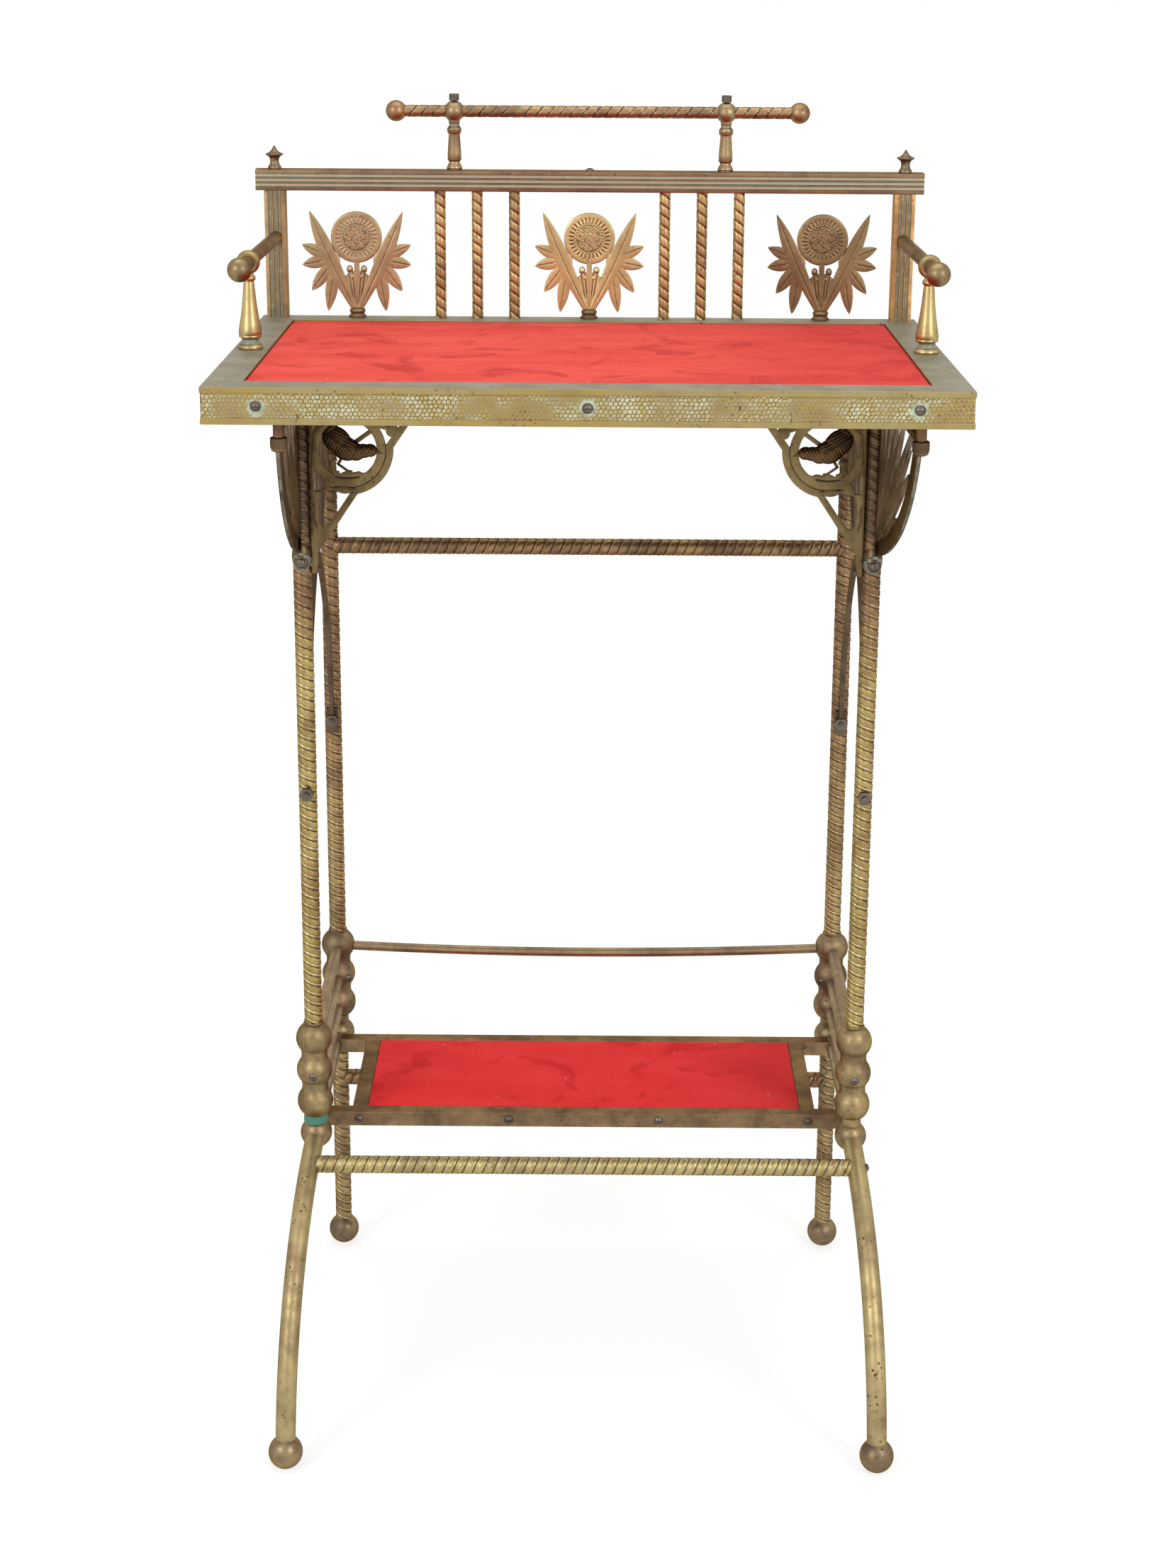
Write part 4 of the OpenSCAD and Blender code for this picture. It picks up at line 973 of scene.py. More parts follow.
def copies_on(node, profile, places, name, material):
    group = [turned(profile, places[0], steps=40)]
    for place in places[1:]:
        group.append(copy_of(group[0], move=Vector(place) - Vector(places[0])))
    return finish_piece(join(group), name, material, [node])


rail_low, rail_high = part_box("gallery_rail")
rail_y = middle("gallery_rail").y
post_x = middle("gallery_post_right").x
table_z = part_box("gallery_post_right")[0][2]
flower_x = middle("flower_right").x
copies_on("finials", FINIAL, [(x, rail_y, rail_high[2]) for x in (-post_x, post_x)], "finials_turned",
          finial_brass)
copies_on("flower_sockets", SOCKET, [(x, rail_y, table_z) for x in (-flower_x, 0, flower_x)],
          "flower_sockets_turned", rail_bronze)

BAR_RISE = 53.0
PILLAR = ([(0, 0), (6.8, 0), (7.1, 0.5), (7.1, 2.6), (6.7, 3.6), (5.9, 5.0), (5.0, 6.4), (4.9, 7.6),
           (5.8, 8.6), (6.4, 9.4), (6.5, 10.2), (6.1, 10.6), (6.5, 11.2), (6.1, 11.8), (6.35, 12.6), (6.2, 16),
           (5.5, 26.0), (5.1, 32.0), (5.2, 32.6), (6.3, 33.6), (6.5, 34.8), (6.2, 35.2), (6.6, 35.8),
           (6.6, 37.4), (5.8, 38.6), (4.9, 39.6), (4.7, 41.4), (5.0, 43.4)]
          + arc((0, BAR_RISE), 9.5, -56, 90, 18))
PILLAR_FLUTES = 10


def flute_pillar(pillar, bottom, low, high):
    """Presses shallow upright flutes into the shaft between two heights, in mm."""
    centre = middle_of(pillar)
    for vertex in pillar.data.vertices:
        up = (vertex.co.z - bottom) / MM
        if low < up < high:
            out = Vector((vertex.co.x - centre.x, vertex.co.y - centre.y))
            turn = math.atan2(out.y, out.x)
            press = 0.30 * MM * (0.5 - 0.5 * math.cos(PILLAR_FLUTES * turn)) ** 2
            out *= 1 - press / max(out.length, MM)
            vertex.co.x, vertex.co.y = centre.x + out.x, centre.y + out.y


def middle_of(piece):
    low = [min(vertex.co[axis] for vertex in piece.data.vertices) for axis in range(3)]
    high = [max(vertex.co[axis] for vertex in piece.data.vertices) for axis in range(3)]
    return (Vector(low) + Vector(high)) / 2


for side, sign in (("left", -1), ("right", 1)):
    node = "bar_pillar_" + side
    centre = middle(node)
    pillar = turned(PILLAR, (centre.x, centre.y, rail_high[2]), steps=60)
    flute_pillar(pillar, rail_high[2], 12.7, 31.9)
    foot = rail_high[2]
    set_seam(pillar, lambda co: 1.0 if co.z < foot + 0.7 * MM or 39 * MM < co.z - foot < 43 * MM else 0.0)
    finish_piece(pillar, node + "_turned", pillar_brass, [node])

ARM_RISE = 74.0
BALUSTER = ([(0, 0), (10.1, 0), (10.5, 0.6), (10.4, 2.3), (9.4, 3.6), (8.0, 4.6), (7.2, 6.2), (7.1, 8.2),
             (8.2, 9.6), (9.7, 10.4), (9.9, 11.4), (9.5, 12.2), (9.9, 13.2), (9.8, 16.0), (9.1, 20.0),
             (7.9, 27.0), (6.7, 35.0), (5.8, 43.0), (5.1, 51.0), (4.6, 56.0), (4.3, 57.6), (5.0, 58.6),
             (5.8, 59.4), (6.0, 60.6), (5.6, 61.8), (4.6, 62.8), (4.2, 64.2), (4.2, 66.0)])
NECK_LOW, NECK_HIGH = 4.0, 9.8
for side, sign in (("left", -1), ("right", 1)):
    node = "arm_baluster_" + side
    low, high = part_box(node)
    centre = middle(node)
    shaft = turned(BALUSTER + [(0, 66.5)], (centre.x, centre.y, table_z), steps=44)
    bottom = table_z
    set_seam(shaft, lambda co: 1.0 if NECK_LOW * MM < co.z - bottom < NECK_HIGH * MM else 0.0)
    collar = turned(arc((0, 0), 10.1, -36, 36, 8) + [(6.1, 5.94), (6.05, 0), (6.1, -5.94), (8.17, -5.94)],
                    (0, 0, 0), steps=40)
    collar.rotation_euler = (math.pi / 2, 0, 0)
    collar.location = (centre.x, centre.y, table_z + ARM_RISE * MM)
    settle(collar)
    set_seam(collar, lambda co: 0.0)
    finish_piece(join([shaft, collar]), node + "_turned", bright_turned, [node])
print("finials 2, sockets 3, pillars 2, balusters 2")

# %% [markdown]
# ## Bent and plain tubes
# The front legs below the knees are smooth tube bent to one arc. A circle set square to the arc is
# spun about the arc's middle. The rods between the stacks are the same tube, kept straight, and the
# thin rod at the back hangs in a very flat arc.

# %% Curved legs
CURVE_START = math.radians(18)


def bent_tube(radius, pivot, start, end, side_axis, steps, corners=28):
    """Spins a circle from start to end round a pivot; the operator turns clockwise about its axis."""
    begin = start - pivot
    finish = end - pivot
    angle = begin.angle(finish)
    along = side_axis.cross(begin).normalized()
    bpy.ops.mesh.primitive_circle_add(vertices=corners, radius=radius, fill_type="NGON", location=start,
                                      rotation=along.to_track_quat("Z", "Y").to_euler())
    tube = settle(bpy.context.object)
    bpy.ops.object.mode_set(mode="EDIT")
    bpy.ops.mesh.select_all(action="SELECT")
    bpy.ops.mesh.spin(steps=steps, angle=angle, center=pivot, axis=-side_axis)
    bpy.ops.mesh.select_all(action="DESELECT")
    bpy.ops.mesh.select_non_manifold()
    bpy.ops.mesh.fill_holes(sides=0)
    bpy.ops.object.mode_set(mode="OBJECT")
    return tidy_mesh(tube)


knee_box = corner_places("knee_balls", KNEE_R)
knee_y, knee_z = knee_box[0].y, knee_box[0].z
for side, sign in (("left", -1), ("right", 1)):
    knee = Vector((sign * leg_x, knee_y, knee_z))
    foot = Vector(feet[0] if sign < 0 else feet[1])
    level = Vector((foot.x - knee.x, foot.y - knee.y, 0)).normalized()
    chord = foot - knee
    drop = math.atan2(-chord.z, chord.dot(level))
    half = drop - CURVE_START
    bend_r = chord.length / (2 * math.sin(half))
    pivot = knee - level * bend_r * math.sin(CURVE_START) - Vector((0, 0, bend_r * math.cos(CURVE_START)))
    side_axis = Vector((0, 0, 1)).cross(level)
    width = 17.5 * MM
    tube = bent_tube(width / 2, pivot, knee, foot, side_axis, 44, corners=36)
    finish_piece(tube, f"curved_leg_{side}_bent", curved_brass, [f"curved_leg_{side}"])
print("curved legs: bend radius in mm", round(bend_r / MM))

# %% Side rods and the thin rear rod
for side in ("left", "right"):
    node = "side_rods_" + side
    low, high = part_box(node)
    width = high[0] - low[0]
    rods = []
    for step in range(4):
        up = low[2] + width / 2 + step * (high[2] - low[2] - width) / 3
        bpy.ops.mesh.primitive_cylinder_add(vertices=28, radius=width / 2, depth=high[1] - low[1],
                                            location=(middle(node).x, middle(node).y, up),
                                            rotation=(math.pi / 2, 0, 0))
        rod = settle(bpy.context.object)
        select_faces(rod, lambda centre, normal: abs(normal.y) > 0.9)
        bpy.ops.mesh.inset(thickness=0.6 * MM)
        bpy.ops.transform.resize(value=(1, 1.004, 1))
        leave_faces(rod)
        rods.append(tidy_mesh(rod))
    finish_piece(join(rods), node + "_drawn", rod_brass, [node])

low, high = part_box("thin_rear_rod")
THIN_R = 4.5 * MM
sag = high[2] - low[2] - 2 * THIN_R
half = (high[0] - low[0]) / 2
bend_r = (half * half + sag * sag) / (2 * sag)
pivot = Vector((0, middle("thin_rear_rod").y, low[2] + THIN_R + bend_r))
start = Vector((-half, pivot.y, low[2] + THIN_R + sag))
end = Vector((half, pivot.y, low[2] + THIN_R + sag))
thin = bent_tube(THIN_R, pivot, start, end, Vector((0, -1, 0)), 24, corners=24)
finish_piece(thin, "thin_rear_rod_bent", arm_brass, ["thin_rear_rod"])
print("thin rod sag in mm:", round(sag / MM, 1))

# %% [markdown]
# ## The hammered table frame
# The table's edge is an angle of brass: a flat border on top and a deep apron below it. Between two
# plain bands the apron is chased all over with small round tool marks. Each side is an L-shaped bar
# whose ends are cut at 45 degrees, and its chased band is a fine grid whose vertices are pushed in
# between round cells, so that the marks catch the light from any side.

# %% L-shaped bars
BORDER = 31 * MM
STRIP = 3 * MM
APRON = 30 * MM
BAND_EDGE = 5 * MM
MITRE_GAP = 0.12 * MM
CELL = 3.75 * MM
BAND_STEP = 0.62 * MM


def bevel_all(piece, width, segments=2, angle=30):
    bevel = piece.modifiers.new("soft_edges", "BEVEL")
    bevel.width = width
    bevel.segments = segments
    bevel.limit_method = "ANGLE"
    bevel.angle_limit = math.radians(angle)
    only(piece)
    bpy.ops.object.modifier_apply(modifier="soft_edges")
    return piece


def outline_face(points):
    """A flat face with the given corners (across, up), in metres, in the XZ plane facing -Y."""
    bpy.ops.mesh.primitive_circle_add(vertices=len(points), radius=1, fill_type="NGON")
    piece = bpy.context.object
    for vertex, (across, up) in zip(piece.data.vertices, points):
        vertex.co = (across, 0, up)
    only(piece)
    bpy.ops.object.mode_set(mode="EDIT")
    bpy.ops.mesh.select_all(action="SELECT")
    bpy.ops.mesh.normals_make_consistent(inside=False)
    bpy.ops.object.mode_set(mode="OBJECT")
    if piece.data.polygons[0].normal.y > 0:
        piece.data.flip_normals()
    return piece


def extrude_by(piece, along):
    """Pulls every face of a flat piece out by a vector and closes the solid."""
    only(piece)
    bpy.ops.object.mode_set(mode="EDIT")
    bpy.ops.mesh.select_all(action="SELECT")
    bpy.ops.mesh.extrude_region_move(TRANSFORM_OT_translate={"value": along})
    bpy.ops.mesh.select_all(action="SELECT")
    bpy.ops.mesh.normals_make_consistent(inside=False)
    bpy.ops.object.mode_set(mode="OBJECT")
    return piece


def angle_bar(length):
    """An L-shaped bar along X, with its outer face on y = 0, its top on z = 0 and mitred ends."""
    inner = STRIP - 0.9 * MM
    points = [(0, 0), (BORDER, 0), (BORDER, -STRIP), (STRIP, -STRIP), (STRIP, -APRON), (0, -APRON),
              (0, BAND_EDGE - APRON), (inner - 1 * MM, BAND_EDGE - APRON + 0.4 * MM),
              (inner - 1 * MM, -BAND_EDGE - 0.4 * MM), (0, -BAND_EDGE)]
    bar = outline_face(points)
    bar.rotation_euler = (0, 0, math.pi / 2)
    settle(bar)
    bar.location = (-length / 2, 0, 0)
    settle(bar)
    extrude_by(bar, (length, 0, 0))
    only(bar)
    bpy.ops.object.mode_set(mode="EDIT")
    for sign in (-1, 1):
        bpy.ops.mesh.select_all(action="SELECT")
        bpy.ops.mesh.bisect(plane_co=(sign * (length / 2 - MITRE_GAP), 0, 0), plane_no=(sign, 1, 0),
                            use_fill=True, clear_outer=True)
    bpy.ops.mesh.select_all(action="SELECT")
    bpy.ops.mesh.normals_make_consistent(inside=False)
    bpy.ops.object.mode_set(mode="OBJECT")
    return bevel_all(bar, 0.55 * MM, segments=2, angle=50)


def mark_middle(column, row):
    """The middle of one tool mark: rows of marks, every second row moved by half a mark."""
    drift = noise.noise_vector(Vector((column * 3.1, row * 5.3, 0.7)))
    across = (column + (0.5 if row % 2 else 0.0) + 0.42 * drift.x) * CELL
    return across, (row + 0.34 * drift.y) * CELL * 0.866


def mark_height(across, up):
    """Height of the chased surface, from 0 in the lines between marks to 1 on a mark."""
    row = round(up / (CELL * 0.866))
    near = []
    for r in (row - 1, row, row + 1):
        column = round(across / CELL - (0.5 if r % 2 else 0.0))
        for c in (column - 1, column, column + 1):
            x, z = mark_middle(c, r)
            near.append(math.hypot(across - x, up - z))
    near.sort()
    dome = min(1.0, max(0.0, (near[1] - near[0]) / (0.38 * CELL)))
    return dome * dome * (3 - 2 * dome)


def chased_band(length):
    """The chased strip: its marks are 0.5 mm high and it sits between the plain bands."""
    width, height = length - 2.4 * MM, APRON - 2 * BAND_EDGE
    bpy.ops.mesh.primitive_grid_add(x_subdivisions=round(width / BAND_STEP),
                                    y_subdivisions=round(height / BAND_STEP), size=1)
    band = bpy.context.object
    band.scale = (width, height, 1)
    band.rotation_euler = (math.pi / 2, 0, 0)
    band.location = (0, 0.9 * MM, -APRON / 2)
    settle(band)
    seams = []
    for vertex in band.data.vertices:
        x, z = vertex.co.x, vertex.co.z + APRON / 2
        edge = min(width / 2 - abs(x), height / 2 - abs(z))
        mark = mark_height(x + length, z + length) if edge > 0.3 * MM else 0.0
        fade = 0.62 + 0.38 * noise.noise(Vector((x * 25, z * 50, 1.3)))
        vertex.co.y = 0.8 * MM - 0.58 * MM * mark * fade
        seams.append(1.0 - mark)
    layer = band.data.attributes.new("seam", "FLOAT", "POINT")
    layer.data.foreach_set("value", seams)
    only(band)
    bpy.ops.object.mode_set(mode="EDIT")
    bpy.ops.mesh.select_all(action="SELECT")
    bpy.ops.mesh.extrude_region_move(TRANSFORM_OT_translate={"value": (0, 0, 0)})
    bpy.ops.object.mode_set(mode="OBJECT")
    for vertex in band.data.vertices:
        if vertex.select:
            vertex.co.y = 1.3 * MM
    bpy.ops.object.mode_set(mode="EDIT")
    bpy.ops.mesh.dissolve_limited(angle_limit=math.radians(1))
    bpy.ops.mesh.select_all(action="SELECT")
    bpy.ops.mesh.normals_make_consistent(inside=False)
    bpy.ops.object.mode_set(mode="OBJECT")
    bpy.ops.object.shade_smooth_by_angle(angle=math.radians(75))
    return band


def table_side(node, length, turn, place):
    bar = angle_bar(length)
    set_seam(bar, lambda co: -1.0)
    side = join([bar, chased_band(length)])
    side.rotation_euler = (0, 0, turn)
    side.location = place
    settle(side)
    return finish_piece(side, node + "_chased", hammered_brass, [node])


low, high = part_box("top_frame_front")
_, back_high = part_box("top_frame_back")
top_w = high[0] - low[0]
top_d = back_high[1] - low[1]
top_z = high[2]
centre_y = (low[1] + back_high[1]) / 2
table_side("top_frame_front", top_w, 0, (0, low[1], top_z))
table_side("top_frame_back", top_w, math.pi, (0, back_high[1], top_z))
table_side("top_frame_left", top_d, -math.pi / 2, (-top_w / 2, centre_y, top_z))
table_side("top_frame_right", top_d, math.pi / 2, (top_w / 2, centre_y, top_z))
print("table frame in mm:", round(top_w / MM), "by", round(top_d / MM))

# %% [markdown]
# ## Velvet
# The table top and the shelf are covered with red velvet glued onto board. It lies flat, so it is a
# thin slab with a dense grid on top, very gently uneven, and its edges roll down where the cloth was
# turned under. The cloth's own look comes from its material, which follows the weave.

# %% Two velvet panels


def velvet_panel(node, name, roll):
    low, high = (Vector(corner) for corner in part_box(node))
    width, depth, thick = high - low
    columns, rows = round(width / (4 * MM)), round(depth / (4 * MM))
    bpy.ops.mesh.primitive_grid_add(x_subdivisions=columns, y_subdivisions=rows, size=1)
    panel = bpy.context.object
    inset = 0.4 * MM
    panel.scale = (width - 2 * inset, depth - 2 * inset, 1)
    panel.location = ((low.x + high.x) / 2, (low.y + high.y) / 2, high.z - 0.25 * MM)
    settle(panel)
    for vertex in panel.data.vertices:
        x, y = vertex.co.x, vertex.co.y
        edge = min(x - low.x, high.x - x, y - low.y, high.y - y) - inset
        fall = max(0.0, 1 - edge / roll)
        wave = 0.22 * MM * noise.noise(Vector((x * 14, y * 22, 5.1)))
        vertex.co.z += -0.9 * MM * fall * fall + wave * (1 - fall)
        if edge < 0.1 * MM:
            slack = 0.35 * MM * (0.5 + 0.5 * noise.noise(Vector((x * 60, y * 60, 9.4))))
            vertex.co.x += slack if x < (low.x + high.x) / 2 and x - low.x < 2 * MM else 0
            vertex.co.x -= slack if x > (low.x + high.x) / 2 and high.x - x < 2 * MM else 0
            vertex.co.y += slack if y < (low.y + high.y) / 2 and y - low.y < 2 * MM else 0
            vertex.co.y -= slack if y > (low.y + high.y) / 2 and high.y - y < 2 * MM else 0
    only(panel)
    bpy.ops.object.mode_set(mode="EDIT")
    bpy.ops.mesh.select_all(action="SELECT")
    bpy.ops.mesh.extrude_region_move(TRANSFORM_OT_translate={"value": (0, 0, 0)})
    bpy.ops.object.mode_set(mode="OBJECT")
    floor = low.z + 0.1 * MM
    for vertex in panel.data.vertices:
        if vertex.select:
            vertex.co.z = floor
    bpy.ops.object.mode_set(mode="EDIT")
    bpy.ops.mesh.select_all(action="SELECT")
    bpy.ops.mesh.normals_make_consistent(inside=False)
    bpy.ops.object.mode_set(mode="OBJECT")
    bpy.ops.object.shade_smooth_by_angle(angle=math.radians(70))
    finish_piece(panel, name, red_velvet, [node])
    return panel, (width, depth)


top_cloth, top_cut = velvet_panel("top_velvet", "top_velvet_laid", 1.6 * MM)
shelf_cloth, shelf_cut = velvet_panel("shelf_velvet", "shelf_velvet_laid", 2.2 * MM)
print("velvet in mm:", [round(side / MM) for side in (*top_cut, *shelf_cut)])

# %% [markdown]
# ## The reeded gallery
# The rail and its two posts are square bar with three broad flutes down the front. Their section is
# drawn once, with rounded corners and shallow hollows, and extruded to length. The shelf's bars are
# plain square bar with worn, slightly bevelled edges.

# %% Reeded bars
FLUTES = (-4.3, 0.0, 4.3)
# across, depth and mask: dark where the flute's wall stands, 1 on its green floor
FLUTE = ((-1.62, 0.0, 0.1), (-1.55, 0.2, 0.55), (-1.38, 0.62, 0.55), (-1.1, 0.78, 1.0), (0.0, 0.85, 1.0),
         (1.1, 0.78, 1.0), (1.38, 0.62, 0.55), (1.55, 0.2, 0.55), (1.62, 0.0, 0.1))
RIDGE = 2.15


def reeded_section(side):
    """The section's rows (across, depth, mask): its front face is on depth = 0."""
    half = side / 2
    rows = []
    for number, flute in enumerate(FLUTES):
        rows += [((flute + across) * MM, depth * MM, mask) for across, depth, mask in FLUTE]
        if number < 2:
            rows.append(((flute + RIDGE) * MM, 0, -0.4))
    corner, soft = 0.9 * MM, 0.25 * MM
    rows += [(half - corner, 0, 0), (half - soft, soft, 0), (half, corner, 0), (half, side - corner, 0),
             (half - soft, side - soft, 0), (half - corner, side, 0), (corner - half, side, 0),
             (soft - half, side - soft, 0), (-half, side - corner, 0), (-half, corner, 0),
             (soft - half, soft, 0), (corner - half, 0, 0)]
    return rows


def reeded_bar(side, length):
    """A reeded bar along Z from z = 0, with its fluted face on y = 0."""
    rows = reeded_section(side)
    bar = outline_face([(across, depth) for across, depth, mask in rows])
    bar.data.attributes.new("seam", "FLOAT", "POINT").data.foreach_set("value", [row[2] for row in rows])
    bar.rotation_euler = (math.pi / -2, 0, 0)
    settle(bar)
    if max(vertex.co.y for vertex in bar.data.vertices) < side / 2:
        bar.scale = (1, -1, 1)
        settle(bar)
    extrude_by(bar, (0, 0, length))
    only(bar)
    bpy.ops.object.mode_set(mode="EDIT")
    pieces = max(2, round(length / (12 * MM)))
    for cut in range(1, pieces):
        bpy.ops.mesh.select_all(action="SELECT")
        bpy.ops.mesh.bisect(plane_co=(0, 0, length * cut / pieces), plane_no=(0, 0, 1))
    bpy.ops.object.mode_set(mode="OBJECT")
    bpy.ops.object.shade_smooth_by_angle(angle=math.radians(38))
    return bar


low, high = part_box("gallery_rail")
SIDE = high[1] - low[1]
rail = reeded_bar(SIDE, high[0] - low[0])
rail.rotation_euler = (0, math.pi / 2, 0)
rail.location = (low[0], low[1], middle("gallery_rail").z)
settle(rail)
finish_piece(rail, "gallery_rail_reeded", rail_bronze, ["gallery_rail"])
for side in ("left", "right"):
    node = "gallery_post_" + side
    low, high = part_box(node)
    post = reeded_bar(SIDE, high[2] - low[2])
    post.location = (middle(node).x, low[1], low[2])
    settle(post)
    finish_piece(post, node + "_reeded", post_copper if side == "right" else post_bronze, [node])
print("reeded bars: side in mm", round(SIDE / MM, 1))

# %% Plain square bars of the shelf


def square_bar(low, high, edge):
    low, high = Vector(low), Vector(high)
    bpy.ops.mesh.primitive_cube_add(size=1, location=(low + high) / 2)
    bar = bpy.context.object
    bar.scale = high - low
    settle(bar)
    return bevel_all(bar, edge, segments=2)


for node in ("shelf_bar_front", "shelf_bar_rear"):
    low, high = (Vector(corner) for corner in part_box(node))
    bar = square_bar(low, high, 0.6 * MM)
    finish_piece(bar, node + "_planed", shelf_bronze, [node])
low, high = (Vector(corner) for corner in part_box("shelf_ends"))
SHELF_BAR = high.z - low.z
left_end = square_bar(low, (low.x + SHELF_BAR, high.y, high.z), 0.6 * MM)
right_end = square_bar((high.x - SHELF_BAR, low.y, low.z), high, 0.6 * MM)
finish_piece(join([left_end, right_end]), "shelf_ends_planed", shelf_bronze,
             ["shelf_ends"])
print("shelf bars: 4, side in mm", round(SHELF_BAR / MM))

# %% [markdown]
# ## Cast leaves
# The flowers, brackets and birds are castings: low relief on a flat back. Most of their parts are
# leaves, feathers or wings, and each of those is the same idea. A grid is bent into a leaf, its middle
# is raised, veins are pressed into it, and its back is closed with a flat face.

# %% A leaf in relief
BACK = 1.75 * MM


def leaf_width(at, fullest, stalk):
    """Half width, from 0 to 1, at a share of the leaf's length."""
    if at < fullest:
        return stalk + (1 - stalk) * math.sin(math.pi / 2 * at / fullest) ** 1.2
    return math.cos(math.pi / 2 * (at - fullest) / (1 - fullest)) ** 0.8


def relief_leaf(base, tip, width, lift=1.6, bend=0.0, fullest=0.5, stalk=0.12, veins=7, vein_cut=0.35,
                steps=22, across=10, streaks=False, front=0.4, branches=0.55, back=BACK):
    """A cast leaf from base to tip, in mm in the XZ plane, with its relief towards -Y."""
    bpy.ops.mesh.primitive_grid_add(x_subdivisions=steps, y_subdivisions=across, size=2)
    leaf = bpy.context.object
    base, tip = Vector(base), Vector(tip)
    run = tip - base
    side = Vector((-run.y, run.x)).normalized()
    seams = []
    for vertex in leaf.data.vertices:
        at, off = (vertex.co.x + 1) / 2, vertex.co.y
        half = leaf_width(at, fullest, stalk) * width / 2
        flat = base + run * at + side * (off * half + bend * math.sin(math.pi * at))
        if streaks:
            cut = (0.5 + 0.5 * math.cos(off * veins * math.pi + 2 * math.sin(5 * at))) ** 2
        else:
            branch = (0.5 + 0.5 * math.cos((at * veins - abs(off) * 1.1) * 2 * math.pi)) ** 6
            rib = max(0.0, 1.0 - abs(off) * half / 0.75)
            cut = max(branch * branches * (1 - abs(off)), rib)
        cut *= min(1.0, 6 * at, 6 * (1 - at)) * (1.0 if abs(off) < 0.86 else 0.0)
        rise = front + lift * (1 - off * off) ** 0.7 * min(1.0, 3 * (1 - at) + 0.25) - vein_cut * cut
        vertex.co = (flat.x * MM, -BACK - rise * MM, flat.y * MM)
        plain = -0.4 * (1 - cut) if streaks else 0.0
        seams.append(-0.3 if abs(off) > 0.86 and not streaks else plain + min(0.6, 0.9 * cut))
    layer = leaf.data.attributes.new("seam", "FLOAT", "POINT")
    layer.data.foreach_set("value", seams)
    return close_back(leaf, back)


def close_back(leaf, back=BACK):
    """Extrudes an open relief and flattens the new side onto the casting's back."""
    only(leaf)
    bpy.ops.object.mode_set(mode="EDIT")
    bpy.ops.mesh.select_all(action="SELECT")
    bpy.ops.mesh.extrude_region_move(TRANSFORM_OT_translate={"value": (0, 0, 0)})
    bpy.ops.object.mode_set(mode="OBJECT")
    for vertex in leaf.data.vertices:
        if vertex.select:
            vertex.co.y = back
    return tidy_mesh(leaf, 60)


def flat_strap(start, end, width, front=BACK, back=BACK, edge=0.5, swell=1.0):
    """A cast strap between two points (across, up) in mm, with softened edges."""
    start, end = Vector(start) * MM, Vector(end) * MM
    run = end - start
    side = Vector((-run.y, run.x)).normalized() * width * MM / 2
    points = [start - side, end - side * swell, end + side * swell, start + side]
    strap = outline_face([(point.x, point.y) for point in points])
    for vertex in strap.data.vertices:
        vertex.co.y = -front
    extrude_by(strap, (0, front + back, 0))
    return bevel_all(strap, edge * MM, 2)


def arc_band(centre, inner, outer, start, end, front=BACK, back=BACK, steps=40, edge=0.5, crown=0.0):
    """A flat band round a centre (across, up) in mm, from one angle to another in degrees."""
    inner, outer, edge = inner * MM, outer * MM, edge * MM
    half = (outer - inner) / 2
    section = [(inner + edge, -front), (outer - edge, -front), (outer, edge - front), (outer, back - edge),
               (outer - edge, back), (inner + edge, back), (inner, back - edge), (inner, edge - front)]
    if crown:
        section.insert(1, (inner + half, -front + crown * MM))
    bpy.ops.mesh.primitive_circle_add(vertices=len(section), radius=1, fill_type="NGON")
    band = bpy.context.object
    first = math.radians(start)
    for vertex, (out, deep) in zip(band.data.vertices, section):
        vertex.co = (out * math.cos(first), deep, out * math.sin(first))
    only(band)
    bpy.ops.object.mode_set(mode="EDIT")
    bpy.ops.mesh.select_all(action="SELECT")
    whole = abs(end - start) >= 360
    if whole:
        bpy.ops.mesh.delete(type="ONLY_FACE")
        bpy.ops.mesh.select_all(action="SELECT")
    bpy.ops.mesh.spin(steps=steps, angle=math.radians(end - start), center=(0, 0, 0), axis=(0, 1, 0),
                      use_auto_merge=whole)
    bpy.ops.mesh.select_all(action="DESELECT")
    if not whole:
        bpy.ops.mesh.select_non_manifold()
        bpy.ops.mesh.fill_holes(sides=0)
    bpy.ops.object.mode_set(mode="OBJECT")
    tidy_mesh(band, 35)
    band.location = (centre[0] * MM, 0, centre[1] * MM)
    return settle(band)


# %% [markdown]
# ## Flowers of the gallery
# Each flower stands in a turned socket. Its round head has a stippled cushion in the middle and a
# fringe of narrow petals, and on each side a long leaf carries four small ones. One flower is modelled
# and copied, and the middle one keeps a brighter finish, as it was cleaned more often.

# %% One flower
RAYS = 30
RIM_R = 23.6
RAY_OUT, RAY_IN = 19.4, 13.6
CUSHION_R = 12.4


